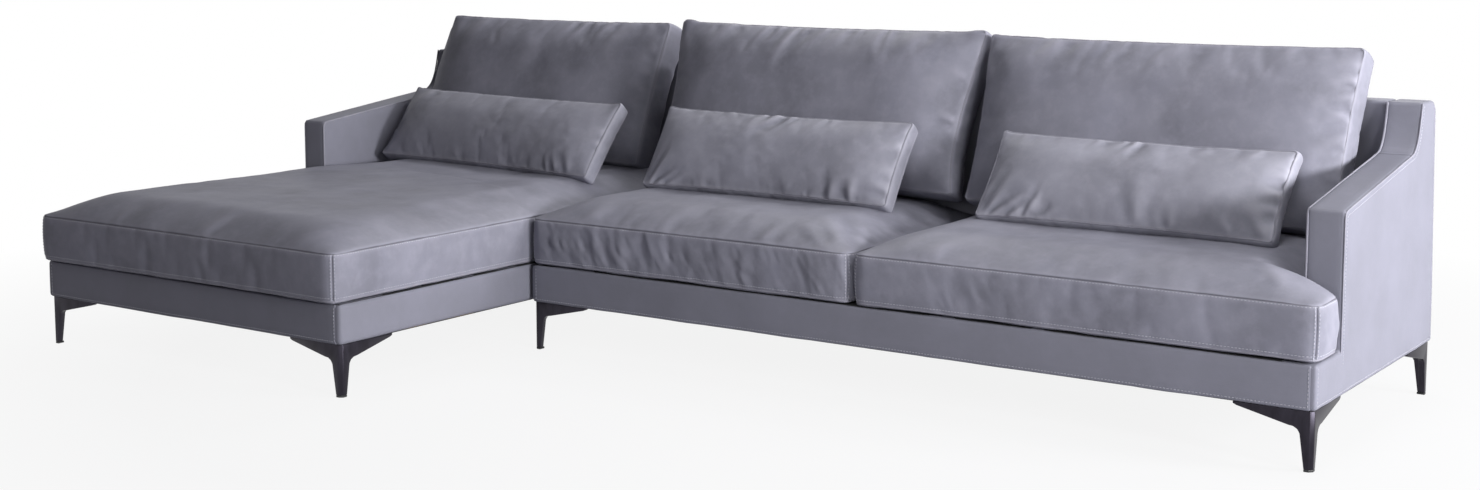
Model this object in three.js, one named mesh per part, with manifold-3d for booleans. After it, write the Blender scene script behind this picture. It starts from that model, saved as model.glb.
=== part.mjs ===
// Sectional sofa with a chaise: a chaise module on the left and a two-seat module on the right,
// each with one arm, both on corner legs, with loose seat, back and lumbar cushions.
// Millimetres. X runs along the sofa to the viewer's right, Y runs to the back, Z is up.
import * as THREE from 'three';
import { mergeVertices } from 'three/addons/utils/BufferGeometryUtils.js';
import Module from 'manifold-3d';

const wasm = await Module();
wasm.setup();

// The two modules
const chaiseWidth = 1246;
const sofaWidth = 2371;
const moduleGap = 10;
const sofaDepth = 955;
const chaiseReach = 767; // how far the chaise comes forward of the two-seat module
const chaiseBackStep = 155; // how far the chaise's back stands behind the other back

// Heights
const legHeight = 145;
const baseHeight = 110;
const backHeight = 803; // floor to the top of the back panels and of the arms' risers

// Arms, seen from the side
const armThickness = 95;
const armFrontHeight = 593;
const sofaArmLength = 779; // from the back to the arm's front edge
const chaiseArmLength = 833;
const sofaArmRise = 80; // climb of the arm's top from its front edge to the riser
const chaiseArmRise = 66;
const riserStart = 250; // from the back to where the arm's top starts to turn up
const riserTop = 167; // from the back to the riser's top edge
const riserBend = 185; // from the back to the corner that the riser's curve rounds off
const riserSteps = 5;
const backLean = 43; // how far the back's outer face leans in at the top
const backEdgeRound = 22; // rounding of the back's top rear edge
const panelBehindRiser = 12; // the back panel's face lies this far behind the riser's top

// Frames and covers
const leatherWall = 6; // leather with its wadding
const fitGap = 0.3;
const overrun = 5; // how far a cutter runs past what it cuts
const railThickness = 28;
const clothThickness = 2;
const webbingThickness = 3;
const strapWidth = 70;
const strapPitch = 240;
const longStrapPitch = 300;

// Corner legs
const legSetback = 6; // from the base's faces
const wingLength = 195;
const wingTipHeight = 9;
const wingTipStep = 8;
const wingRootHeight = 38;
const wingRootLength = 62;
const legThickness = 16;
const bladeTopWidth = 31;
const bladeFillet = 30;
const filletSteps = 4;
const footWidth = 21;
const legCornerChamfer = 9;
const glideHeight = 6;

// Brackets that hold the two modules together
const bracketLength = 130;
const bracketWidth = 60;
const bracketThickness = 3;
const bracketHoleRadius = 4;
const bracketHoleInset = 16;
const bracketHoleSides = 10;
const bracketPlaceShares = [0.36, 0.66]; // along the sofa's depth

// Seat cushions
const seatSeamHeight = 148; // from the cushion's underside to its upper seam
const seatLowerSeam = 14;
const seatCrown = 50;
const seatCornerRadius = 45;
const seatDrawIn = 5;
const chaiseSeatOverhang = 26; // past the base's front face
const sofaSeatOverhang = 4;
const seatSideOverhang = 5; // of the two outer ears, past the modules' outer faces
const seatSideGap = 3; // to the next seat cushion, on each side of the dividing line
const seatArmGap = 4;
const seatBackGap = 5;
const seatDivide = 1114; // from the two-seat module's inner side to the line between its seats

// Back cushions
const backCushionLean = 22; // degrees
const backCushionHeight = 489;
const backCushionBox = 105; // between the front and rear seams
const backCushionFrontCrown = 22;
const backCushionRearCrown = 32;
const backCushionRadius = 34;
const backCushionDrawIn = 7;
const backCushionPanelGap = 3;
const chaiseBackCushionArmInset = 71; // from the arm's inner face
const chaiseBackCushionEndInset = 144; // from the chaise's inner side
const leftBackCushionEndInset = 44; // from the two-seat module's inner side
const leftBackCushionDivideInset = 5; // from the line between the seat cushions
const rightBackCushionDivideInset = 13;
const rightBackCushionArmInset = 46;

// Lumbar pillows
const pillowHeight = 280;
const pillowBox = 26;
const pillowCrown = 38;
const pillowRadius = 22;
const pillowDrawIn = 6;
const pillowGap = 1; // to the back cushion's crown
const chaisePillowArmInset = 55;
const chaisePillowEndInset = 86;
const leftPillowEndInset = 128;
const leftPillowDivideInset = 108;
const rightPillowDivideInset = 178;
const rightPillowArmInset = 130;
const chaisePillowLean = 37; // degrees
const leftPillowLean = 34;
const rightPillowLean = 39;
const chaisePillowTurn = -6;
const chaisePillowAdvance = 30; // forward of where its back cushion would hold it

// Covers of the loose cushions: leather with a quilted fibre lining round a core
const coverWall = 12;
const zipShare = 0.6; // of the cushion's width
const zipOpening = 8;

const floorLevel = 0;
const baseBottom = floorLevel + legHeight;
const baseTop = baseBottom + baseHeight;
const totalWidth = chaiseWidth + moduleGap + sofaWidth;

// Materials
const leather = { color: 0x7d7d86, roughness: 0.62, metalness: 0 };
const wood = { color: 0xb58f63, roughness: 0.75, metalness: 0 };
const cloth = { color: 0x26262b, roughness: 0.95, metalness: 0 };
const elastic = { color: 0x3b3b42, roughness: 0.9, metalness: 0 };
const gunmetal = { color: 0x3a363f, roughness: 0.35, metalness: 0.9 };
const zincSteel = { color: 0x9a9ca0, roughness: 0.4, metalness: 0.9 };
const blackPlastic = { color: 0x121214, roughness: 0.6, metalness: 0 };
const foam = { color: 0xe6dcc0, roughness: 0.95, metalness: 0 };
const fibre = { color: 0xf0eeea, roughness: 1, metalness: 0 };

const sofa = new THREE.Group();

// Adds one named piece to a parent, the whole sofa unless another is given
function addPiece(name, geometry, finish, parent = sofa) {
  geometry.computeVertexNormals();
  const mesh = new THREE.Mesh(geometry, new THREE.MeshStandardMaterial(finish));
  mesh.name = name;
  parent.add(mesh);
  return mesh;
}

// Closed three.js geometry to a manifold solid, for cutting and joining
function toSolid(geometry) {
  const bare = geometry.clone();
  bare.deleteAttribute('normal');
  bare.deleteAttribute('uv');
  const merged = mergeVertices(bare);
  const vertProperties = new Float32Array(merged.attributes.position.array);
  const triVerts = new Uint32Array(merged.index.array);
  return new wasm.Manifold(new wasm.Mesh({ numProp: 3, vertProperties, triVerts }));
}

function toGeometry(solid) {
  const mesh = solid.getMesh();
  const geometry = new THREE.BufferGeometry();
  geometry.setAttribute('position', new THREE.BufferAttribute(mesh.vertProperties, 3));
  geometry.setIndex(new THREE.BufferAttribute(mesh.triVerts, 1));
  return geometry;
}

// Box between two opposite corners, given in any order
function boxGeometry(xA, xB, yA, yB, zA, zB) {
  const geometry = new THREE.BoxGeometry(Math.abs(xB - xA), Math.abs(yB - yA), Math.abs(zB - zA));
  return geometry.translate((xA + xB) / 2, (yA + yB) / 2, (zA + zB) / 2);
}

// Outline in the side view, points of (y, z), run across the sofa from xA to xB
function sidePrism(points, xA, xB) {
  const shape = new THREE.Shape(points);
  const geometry = new THREE.ExtrudeGeometry(shape, { depth: Math.abs(xB - xA), bevelEnabled: false });
  const turn = new THREE.Matrix4().makeBasis(
    new THREE.Vector3(0, 1, 0),
    new THREE.Vector3(0, 0, 1),
    new THREE.Vector3(1, 0, 0),
  );
  return geometry.applyMatrix4(turn).translate(Math.min(xA, xB), 0, 0);
}

// Moves every edge of an outline inwards; the points run anticlockwise
function insetOutline(points, distance) {
  const count = points.length;
  return points.map((point, i) => {
    const before = point.clone().sub(points[(i + count - 1) % count]).normalize();
    const after = points[(i + 1) % count].clone().sub(point).normalize();
    const inwardBefore = new THREE.Vector2(-before.y, before.x);
    const inwardAfter = new THREE.Vector2(-after.y, after.x);
    const share = distance / (1 + inwardBefore.dot(inwardAfter));
    return point.clone().add(inwardBefore.add(inwardAfter).multiplyScalar(share));
  });
}

// The rear edge of a back or an arm: leaning outer face and rounded top, from the bottom up
function rearEdge(backY) {
  const topY = backY - backLean;
  const round = new THREE.QuadraticBezierCurve(
    new THREE.Vector2(topY, backHeight - backEdgeRound),
    new THREE.Vector2(topY, backHeight),
    new THREE.Vector2(topY - backEdgeRound, backHeight),
  );
  return [new THREE.Vector2(backY, baseBottom), ...round.getPoints(3)];
}

// Side view of an arm with the base side under it, anticlockwise from the lower front corner
function armOutline(module) {
  const armFront = module.backY - module.armLength;
  const riserFootHeight = armFrontHeight + module.armRise;
  const riser = new THREE.QuadraticBezierCurve(
    new THREE.Vector2(module.backY - riserTop, backHeight),
    new THREE.Vector2(module.backY - riserBend, riserFootHeight),
    new THREE.Vector2(module.backY - riserStart, riserFootHeight),
  );
  return [
    new THREE.Vector2(module.frontY, baseBottom),
    ...rearEdge(module.backY),
    ...riser.getPoints(riserSteps),
    new THREE.Vector2(armFront, armFrontHeight),
    new THREE.Vector2(armFront, baseTop),
    new THREE.Vector2(module.frontY, baseTop),
  ];
}

function panelFrontY(module) {
  return module.backY - riserTop + panelBehindRiser;
}

function backOutline(module) {
  return [
    new THREE.Vector2(panelFrontY(module), baseBottom),
    ...rearEdge(module.backY),
    new THREE.Vector2(panelFrontY(module), backHeight),
  ];
}

// Leather over a frame of that outline: a sleeve that is open at the bottom
function sleeve(outline, xA, xB) {
  const low = Math.min(xA, xB) + leatherWall;
  const high = Math.max(xA, xB) - leatherWall;
  const hollow = insetOutline(outline, leatherWall);
  const dropped = hollow.map((point) => point.clone().setY(point.y - leatherWall - overrun));
  const outside = toSolid(sidePrism(outline, xA, xB));
  return outside
    .subtract(toSolid(sidePrism(hollow, low, high)))
    .subtract(toSolid(sidePrism(dropped, low, high)));
}

// One leg for the corner at (x, y); sideX and sideY point from the corner into the base
function legGeometry(x, y, sideX, sideY) {
  const top = baseBottom - fitGap;
  const foot = glideHeight + fitGap;
  const wingRoot = top - wingRootHeight;
  const fillet = new THREE.QuadraticBezierCurve(
    new THREE.Vector2(wingRootLength, wingRoot),
    new THREE.Vector2(bladeTopWidth, wingRoot),
    new THREE.Vector2(bladeTopWidth, wingRoot - bladeFillet),
  );
  const outline = [
    new THREE.Vector2(0, top),
    new THREE.Vector2(0, foot),
    new THREE.Vector2(footWidth, foot),
    ...fillet.getPoints(filletSteps).reverse(),
    new THREE.Vector2(wingLength - wingTipStep, top - wingTipHeight),
    new THREE.Vector2(wingLength, top - wingTipHeight + wingTipStep / 2),
    new THREE.Vector2(wingLength, top),
  ];
  const plate = { depth: legThickness, bevelEnabled: false };
  const alongX = outline.map((point) => new THREE.Vector2(sideX * point.x, point.y));
  const xWing = new THREE.ExtrudeGeometry(new THREE.Shape(alongX), plate).rotateX(Math.PI / 2);
  xWing.translate(0, sideY > 0 ? legThickness : 0, 0);
  const alongY = outline.map((point) => new THREE.Vector2(sideY * point.x, point.y));
  const yWing = sidePrism(alongY, 0, sideX * legThickness);
  const corner = new THREE.Shape([
    new THREE.Vector2(-sideX * overrun, -sideY * overrun),
    new THREE.Vector2(sideX * (legCornerChamfer + overrun), -sideY * overrun),
    new THREE.Vector2(-sideX * overrun, sideY * (legCornerChamfer + overrun)),
  ]);
  const chamfer = new THREE.ExtrudeGeometry(corner, { depth: legHeight, bevelEnabled: false });
  const leg = toSolid(xWing).add(toSolid(yWing)).subtract(toSolid(chamfer));
  return toGeometry(leg).translate(x, y, 0);
}

function glideGeometry(x, y, sideX, sideY) {
  const shape = new THREE.Shape([
    new THREE.Vector2(sideX * legCornerChamfer, 0),
    new THREE.Vector2(sideX * footWidth, 0),
    new THREE.Vector2(sideX * footWidth, sideY * footWidth),
    new THREE.Vector2(0, sideY * footWidth),
    new THREE.Vector2(0, sideY * legCornerChamfer),
  ]);
  const glide = new THREE.ExtrudeGeometry(shape, { depth: glideHeight, bevelEnabled: false });
  return glide.translate(x, y, floorLevel);
}

// Elastic webbing as one flat lattice: straps front to back, held by long straps across them
function webbingGeometry(x0, x1, y0, y1, bottom) {
  const columns = Math.max(1, Math.round((x1 - x0) / strapPitch));
  const rows = Math.max(1, Math.round((y1 - y0) / longStrapPitch));
  const pitchX = (x1 - x0 - strapWidth) / columns;
  const pitchY = (y1 - y0 - strapWidth) / rows;
  const top = bottom + webbingThickness;
  let lattice = toSolid(boxGeometry(x0, x1, y0, y1, bottom, top));
  for (let i = 0; i < columns; i += 1) {
    for (let j = 0; j < rows; j += 1) {
      const left = x0 + strapWidth + i * pitchX;
      const near = y0 + strapWidth + j * pitchY;
      const gap = boxGeometry(
        left, left + pitchX - strapWidth, near, near + pitchY - strapWidth, bottom - overrun, top + overrun,
      );
      lattice = lattice.subtract(toSolid(gap));
    }
  }
  return toGeometry(lattice);
}

// One module: frames, seat support, leather and legs. outerX is its arm side, innerX the joint
function addModule(module) {
  const { name, outerX, innerX, frontY, backY } = module;
  const inward = Math.sign(innerX - outerX);
  const armInnerX = outerX + inward * armThickness;
  const armFrameInnerX = armInnerX - inward * (leatherWall + fitGap);
  const skin = leatherWall + fitGap;
  const armSide = armOutline(module);
  const backSide = backOutline(module);
  const backFrameFrontY = panelFrontY(module) + skin;

  const dustTop = baseBottom + clothThickness;
  const railBottom = dustTop + fitGap;
  const deckBottom = baseTop - clothThickness;
  const webbingBottom = deckBottom - fitGap - webbingThickness;
  const railTop = webbingBottom - fitGap;

  // wooden frames: the arm and back frames reach down to the base and close its sides
  const armFrame = sidePrism(insetOutline(armSide, skin), outerX + inward * skin, armFrameInnerX);
  const underside = boxGeometry(
    outerX, innerX, frontY - overrun, backY + overrun, baseBottom - overrun, railBottom,
  );
  const armSolid = toSolid(armFrame).subtract(toSolid(underside));
  addPiece(`${name}_arm_frame`, toGeometry(armSolid), wood);
  const backFrameOuterX = armInnerX + inward * (leatherWall + 2 * fitGap);
  const backFrame = sidePrism(insetOutline(backSide, skin), backFrameOuterX, innerX - inward * skin);
  const backSolid = toSolid(backFrame).subtract(toSolid(underside));
  addPiece(`${name}_back_frame`, toGeometry(backSolid), wood);
  const railFrontY = frontY + skin;
  const railBehindY = railFrontY + railThickness + fitGap;
  const railEndY = backFrameFrontY - fitGap;
  const railArmX = armFrameInnerX + inward * fitGap;
  const innerRailX = innerX - inward * skin;
  const frontRail = boxGeometry(railArmX, innerRailX, railFrontY, railFrontY + railThickness, railBottom, railTop);
  addPiece(`${name}_front_rail`, frontRail, wood);
  const innerRail = boxGeometry(
    innerRailX - inward * railThickness, innerRailX, railBehindY, railEndY, railBottom, railTop,
  );
  addPiece(`${name}_inner_rail`, innerRail, wood);
  const middleX = (railArmX + innerRailX) / 2;
  const middleRail = boxGeometry(
    middleX - railThickness / 2, middleX + railThickness / 2, railBehindY, railEndY, railBottom, railTop,
  );
  addPiece(`${name}_middle_rail`, middleRail, wood);

  // seat support
  const supportX0 = Math.min(railArmX, innerRailX);
  const supportX1 = Math.max(railArmX, innerRailX);
  const webbing = webbingGeometry(supportX0, supportX1, railFrontY, railEndY, webbingBottom);
  addPiece(`${name}_seat_webbing`, webbing, elastic);
  const deck = boxGeometry(supportX0, supportX1, railFrontY, railEndY, deckBottom, baseTop);
  addPiece(`${name}_deck_cloth`, deck, cloth);
  const dust = boxGeometry(
    outerX + inward * skin, innerRailX, railFrontY, railEndY, baseBottom, dustTop,
  );
  addPiece(`${name}_dust_cover`, dust, cloth);

  // leather: arm and back sleeves, and the base's front and inner panels between them
  const baseInnerCut = boxGeometry(
    armInnerX + inward * overrun, outerX + inward * leatherWall,
    frontY - overrun, backY - backLean - overrun, baseBottom - overrun, baseTop - leatherWall,
  );
  const hemCut = boxGeometry(
    armInnerX + inward * overrun, armInnerX - inward * leatherWall,
    frontY - overrun, backY + overrun, baseBottom - overrun, baseTop,
  );
  const armLeather = sleeve(armSide, outerX, armInnerX)
    .subtract(toSolid(baseInnerCut))
    .subtract(toSolid(hemCut));
  addPiece(`${name}_arm_leather`, toGeometry(armLeather), leather);
  const backLeatherX = armInnerX + inward * fitGap;
  const baseFrontCut = boxGeometry(
    backLeatherX - inward * overrun, innerX + inward * overrun,
    panelFrontY(module) - overrun, panelFrontY(module) + leatherWall, baseBottom - overrun, baseTop,
  );
  const backLeather = sleeve(backSide, backLeatherX, innerX).subtract(toSolid(baseFrontCut));
  addPiece(`${name}_back_leather`, toGeometry(backLeather), leather);
  const frontLeather = boxGeometry(
    outerX + inward * skin, innerX, frontY, frontY + leatherWall, baseBottom, baseTop - leatherWall - fitGap,
  );
  addPiece(`${name}_front_leather`, frontLeather, leather);
  const innerLeather = boxGeometry(
    innerX - inward * leatherWall, innerX, frontY + skin, panelFrontY(module) + leatherWall - fitGap,
    baseBottom, baseTop,
  );
  addPiece(`${name}_inner_leather`, innerLeather, leather);

  // corner legs, each on its own glide
  const corners = [
    { place: 'front_outer', x: outerX + inward * legSetback, y: frontY + legSetback, sideX: inward, sideY: 1 },
    { place: 'front_inner', x: innerX - inward * legSetback, y: frontY + legSetback, sideX: -inward, sideY: 1 },
    { place: 'rear_outer', x: outerX + inward * legSetback, y: backY - legSetback, sideX: inward, sideY: -1 },
    { place: 'rear_inner', x: innerX - inward * legSetback, y: backY - legSetback, sideX: -inward, sideY: -1 },
  ];
  for (const { place, x, y, sideX, sideY } of corners) {
    addPiece(`${name}_leg_${place}`, legGeometry(x, y, sideX, sideY), gunmetal);
    addPiece(`${name}_glide_${place}`, glideGeometry(x, y, sideX, sideY), blackPlastic);
  }
}

const chaiseModule = {
  name: 'chaise',
  outerX: 0,
  innerX: chaiseWidth,
  frontY: -chaiseReach,
  backY: sofaDepth + chaiseBackStep,
  armLength: chaiseArmLength,
  armRise: chaiseArmRise,
};
const sofaModule = {
  name: 'sofa',
  outerX: totalWidth,
  innerX: chaiseWidth + moduleGap,
  frontY: 0,
  backY: sofaDepth,
  armLength: sofaArmLength,
  armRise: sofaArmRise,
};
addModule(chaiseModule);
addModule(sofaModule);

// Flat connector brackets under the joint, screwed to both modules' inner rails
function bracketGeometry(y) {
  const middleX = chaiseWidth + moduleGap / 2;
  const left = middleX - bracketLength / 2;
  const right = middleX + bracketLength / 2;
  const near = y - bracketWidth / 2;
  const far = y + bracketWidth / 2;
  const plate = new THREE.Shape([
    new THREE.Vector2(left, near),
    new THREE.Vector2(right, near),
    new THREE.Vector2(right, far),
    new THREE.Vector2(left, far),
  ]);
  for (const holeX of [left + bracketHoleInset, right - bracketHoleInset]) {
    for (const holeY of [near + bracketHoleInset, far - bracketHoleInset]) {
      const hole = new THREE.Path();
      hole.absarc(holeX, holeY, bracketHoleRadius, 0, 2 * Math.PI, true);
      plate.holes.push(new THREE.Path(hole.getSpacedPoints(bracketHoleSides).slice(1)));
    }
  }
  const bracket = new THREE.ExtrudeGeometry(plate, { depth: bracketThickness, bevelEnabled: false });
  return bracket.translate(0, 0, baseBottom - fitGap - bracketThickness);
}
bracketPlaceShares.forEach((share, i) => {
  addPiece(`connector_bracket_${i + 1}`, bracketGeometry(sofaDepth * share), zincSteel);
});

// Corners of a rectangle round the origin, anticlockwise
function rectangle(width, height) {
  return [
    new THREE.Vector2(-width / 2, -height / 2),
    new THREE.Vector2(width / 2, -height / 2),
    new THREE.Vector2(width / 2, height / 2),
    new THREE.Vector2(-width / 2, height / 2),
  ];
}

// Outline of a cushion from its square corners, anticlockwise: each corner is rounded, and each
// side is drawn in a little between its corners
function cushionOutline(corners, radius, drawIn, cornerSteps, sideSteps) {
  const count = corners.length;
  const points = [];
  corners.forEach((corner, i) => {
    const next = corners[(i + 1) % count];
    const before = corner.clone().sub(corners[(i + count - 1) % count]).normalize();
    const along = next.clone().sub(corner);
    const length = along.length();
    along.normalize();
    const inward = new THREE.Vector2(-along.y, along.x);
    const round = new THREE.QuadraticBezierCurve(
      corner.clone().addScaledVector(before, -radius),
      corner,
      corner.clone().addScaledVector(along, radius),
    );
    points.push(...round.getPoints(cornerSteps));
    for (let step = 1; step <= sideSteps; step += 1) {
      const t = step / (sideSteps + 1);
      const point = corner.clone().addScaledVector(along, radius + t * (length - 2 * radius));
      points.push(point.addScaledVector(inward, drawIn * 4 * t * (1 - t)));
    }
  });
  return points;
}

// Closed soft body: copies of the outline, scaled about its centre by each ring's share and
// lifted to each ring's height, from the lower pole to the upper pole
function softBody(outline, centre, rings, lowerPole, upperPole) {
  const count = outline.length;
  const positions = [centre.x, centre.y, lowerPole];
  for (const [share, height] of rings) {
    for (const point of outline) {
      const placed = point.clone().sub(centre).multiplyScalar(share).add(centre);
      positions.push(placed.x, placed.y, height);
    }
  }
  positions.push(centre.x, centre.y, upperPole);
  const index = [];
  const last = positions.length / 3 - 1;
  for (let i = 0; i < count; i += 1) {
    const j = (i + 1) % count;
    index.push(0, 1 + j, 1 + i);
    for (let ring = 0; ring < rings.length - 1; ring += 1) {
      const low = 1 + ring * count;
      const high = low + count;
      index.push(low + i, low + j, high + j);
      index.push(low + i, high + j, high + i);
    }
    index.push(last - count + i, last - count + j, last);
  }
  const geometry = new THREE.BufferGeometry();
  geometry.setAttribute('position', new THREE.Float32BufferAttribute(positions, 3));
  geometry.setIndex(index);
  return geometry;
}

// Height of a crown over the seam, full in the middle and falling round to the seam
function crownAt(share) {
  return Math.sqrt(1 - share ** 4);
}

const crownShares = [0.97, 0.88, 0.7, 0.4];
const coreCrownShares = [0.72];
const sideBulgeShare = 1.005;
const bottomEdgeShare = 0.975;

// Rings of a seat cushion: flat underside, upright side and crown
function seatRings(height, lowerSeam, crown, shares) {
  return [
    [bottomEdgeShare, 0],
    [1, lowerSeam],
    [sideBulgeShare, (lowerSeam + height) / 2],
    [1, height],
    ...shares.map((share) => [share, height + crown * crownAt(share)]),
  ];
}

// Rings of a boxed cushion with a crown on both faces; its thickness runs from rear to front
function boxedRings(box, rearCrown, frontCrown, shares) {
  const rear = [...shares].reverse().map((share) => [share, -box / 2 - rearCrown * crownAt(share)]);
  const front = shares.map((share) => [share, box / 2 + frontCrown * crownAt(share)]);
  return [...rear, [1, -box / 2], [sideBulgeShare, 0], [1, box / 2], ...front];
}

// Cover and core of one loose cushion, added to the holder that places the pair
function addCushion(name, holder, cover, core, filling) {
  addPiece(`${name}_cover`, toGeometry(cover), leather, holder);
  addPiece(`${name}_core`, toGeometry(core), filling, holder);
}

// Seat cushion on the deck. The zip runs along the rear side, and a cushion beside a module's arm
// is cut back to clear it
function addSeatCushion(name, seat, module) {
  const { x0, x1, y0, y1 } = seat;
  const centre = new THREE.Vector2((x0 + x1) / 2, (y0 + y1) / 2);
  const outside = rectangle(x1 - x0, y1 - y0).map((corner) => corner.add(centre));
  const outline = cushionOutline(outside, seatCornerRadius, seatDrawIn, 2, 3);
  const rings = seatRings(seatSeamHeight, seatLowerSeam, seatCrown, crownShares);
  const body = toSolid(softBody(outline, centre, rings, 0, seatSeamHeight + seatCrown));
  const inside = (wall) => {
    const edge = cushionOutline(insetOutline(outside, wall), seatCornerRadius, seatDrawIn, 1, 1);
    const height = seatSeamHeight - wall;
    const innerRings = [
      [1, wall],
      [1, height],
      ...coreCrownShares.map((share) => [share, height + seatCrown * crownAt(share)]),
    ];
    return toSolid(softBody(edge, centre, innerRings, wall, height + seatCrown));
  };
  const armCut = (wall) => {
    const inward = Math.sign(module.innerX - module.outerX);
    const top = seatSeamHeight + seatCrown + overrun;
    const sideX = module.outerX + inward * (armThickness + seatArmGap + wall);
    const frontY = module.backY - module.armLength - seatArmGap - wall;
    const outerX = module.outerX - inward * (seatSideOverhang + overrun);
    return toSolid(boxGeometry(outerX, sideX, frontY, y1 + overrun, -overrun, top));
  };
  const zipHalf = ((x1 - x0 - armThickness) * zipShare) / 2;
  const zipHeight = seatSeamHeight / 2;
  const zip = boxGeometry(
    centre.x - zipHalf, centre.x + zipHalf,
    y1 - coverWall - seatDrawIn - overrun, y1 + overrun,
    zipHeight - zipOpening / 2, zipHeight + zipOpening / 2,
  );
  const shaped = (solid, wall) => (module ? solid.subtract(armCut(wall)) : solid);
  const cover = shaped(body, 0)
    .subtract(shaped(inside(coverWall), coverWall))
    .subtract(toSolid(zip));
  const core = shaped(inside(coverWall + fitGap), coverWall + fitGap);
  const holder = new THREE.Group();
  holder.position.z = baseTop + fitGap;
  sofa.add(holder);
  addCushion(name, holder, cover, core, foam);
}

// Extents of the three seat cushions
const seatDivideX = sofaModule.innerX + seatDivide;
const jointX = chaiseWidth + moduleGap / 2;
const chaiseSeat = {
  x0: chaiseModule.outerX - seatSideOverhang,
  x1: jointX - seatSideGap,
  y0: chaiseModule.frontY - chaiseSeatOverhang,
  y1: panelFrontY(chaiseModule) - seatBackGap,
};
const leftSeat = {
  x0: jointX + seatSideGap,
  x1: seatDivideX - seatSideGap,
  y0: sofaModule.frontY - sofaSeatOverhang,
  y1: panelFrontY(sofaModule) - seatBackGap,
};
const rightSeat = {
  x0: seatDivideX + seatSideGap,
  x1: sofaModule.outerX + seatSideOverhang,
  y0: leftSeat.y0,
  y1: leftSeat.y1,
};
addSeatCushion('chaise_seat_cushion', chaiseSeat, chaiseModule);
addSeatCushion('left_seat_cushion', leftSeat);
addSeatCushion('right_seat_cushion', rightSeat, sofaModule);

const ringShares = [1, ...crownShares, 0];
const settlingPasses = 8;
const edgeSteps = 12;

// Height of a seat cushion's upper surface over the floor, at a point above it
function seatSurface(seat, x, y) {
  const acrossShare = (x - seat.x0) / (seat.x1 - seat.x0);
  const drawn = seatDrawIn * 4 * acrossShare * (1 - acrossShare);
  const fromMiddleX = Math.abs(x - (seat.x0 + seat.x1) / 2) / ((seat.x1 - seat.x0) / 2);
  const fromMiddleY = Math.abs(y - (seat.y0 + seat.y1) / 2) / ((seat.y1 - seat.y0) / 2 - drawn);
  const share = Math.min(1, Math.max(fromMiddleX, fromMiddleY));
  const outer = Math.max(0, ringShares.findLastIndex((ring) => ring > share));
  const inner = ringShares[outer + 1];
  const mix = (ringShares[outer] - share) / (ringShares[outer] - inner);
  const crown = THREE.MathUtils.lerp(crownAt(ringShares[outer]), crownAt(inner), mix);
  return baseTop + fitGap + seatSeamHeight + seatCrown * crown;
}

// How far a point (y, z) lies behind the back cushions' leaning plane through the origin
function behindLean(y, z) {
  const lean = THREE.MathUtils.degToRad(backCushionLean);
  return y * Math.cos(lean) - z * Math.sin(lean);
}

// Points along the edges of a body's faces, after a turn
function edgePoints(body, turn) {
  const corners = body.index.array;
  const place = body.attributes.position;
  const points = [];
  for (let i = 0; i < corners.length; i += 1) {
    const face = i - (i % 3);
    const from = new THREE.Vector3().fromBufferAttribute(place, corners[i]).applyEuler(turn);
    const next = corners[face + ((i + 1) % 3)];
    const to = new THREE.Vector3().fromBufferAttribute(place, next).applyEuler(turn);
    for (let step = 0; step < edgeSteps; step += 1) {
      points.push(from.clone().lerp(to, step / edgeSteps));
    }
  }
  return points;
}

// Holder that leans a cushion's body back and turns it, then moves it until it rests on the seat
// cushion under it and its rearmost point meets the leaning plane `behind` the origin
function leaningHolder(body, place) {
  const holder = new THREE.Group();
  const tilt = THREE.MathUtils.degToRad(90 - place.leanDegrees);
  holder.rotation.set(tilt, 0, THREE.MathUtils.degToRad(place.turnDegrees), 'ZYX');
  const points = edgePoints(body, holder.rotation);
  const rearmost = points.reduce((most, point) => Math.max(most, behindLean(point.y, point.z)), -Infinity);
  const lean = THREE.MathUtils.degToRad(backCushionLean);
  let y = 0;
  let z = backHeight;
  for (let pass = 0; pass < settlingPasses; pass += 1) {
    y = (place.behind - rearmost + z * Math.sin(lean)) / Math.cos(lean);
    const clearance = (point) => point.z + z - seatSurface(place.seat, point.x + place.x, point.y + y);
    z += fitGap - points.reduce((least, point) => Math.min(least, clearance(point)), Infinity);
  }
  holder.position.set(place.x, y, z);
  sofa.add(holder);
  return holder;
}

// Boxed cushion that leans back, with its zip along the bottom
function addLeaningCushion(name, place, size) {
  const { width, height, box, rearCrown, frontCrown, radius, drawIn } = size;
  const centre = new THREE.Vector2();
  const outline = cushionOutline(rectangle(width, height), radius, drawIn, 2, 3);
  const rings = boxedRings(box, rearCrown, frontCrown, crownShares);
  const body = softBody(outline, centre, rings, -box / 2 - rearCrown, box / 2 + frontCrown);
  const inside = (wall) => {
    const corners = rectangle(width - 2 * wall, height - 2 * wall);
    const edge = cushionOutline(corners, radius, drawIn, 1, 1);
    const innerBox = Math.max(box - wall, box / 2);
    const rear = rearCrown - wall / 2;
    const front = frontCrown - wall / 2;
    const innerRings = boxedRings(innerBox, rear, front, coreCrownShares)
      .filter(([share]) => share <= 1);
    return toSolid(softBody(edge, centre, innerRings, -innerBox / 2 - rear, innerBox / 2 + front));
  };
  const zipHalf = (width * zipShare) / 2;
  const zip = boxGeometry(
    -zipHalf, zipHalf,
    -height / 2 - overrun, -height / 2 + coverWall + drawIn + overrun,
    -zipOpening / 2, zipOpening / 2,
  );
  const cover = toSolid(body).subtract(inside(coverWall)).subtract(toSolid(zip));
  const holder = leaningHolder(body, place);
  addCushion(name, holder, cover, inside(coverWall + fitGap), fibre);
}

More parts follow.
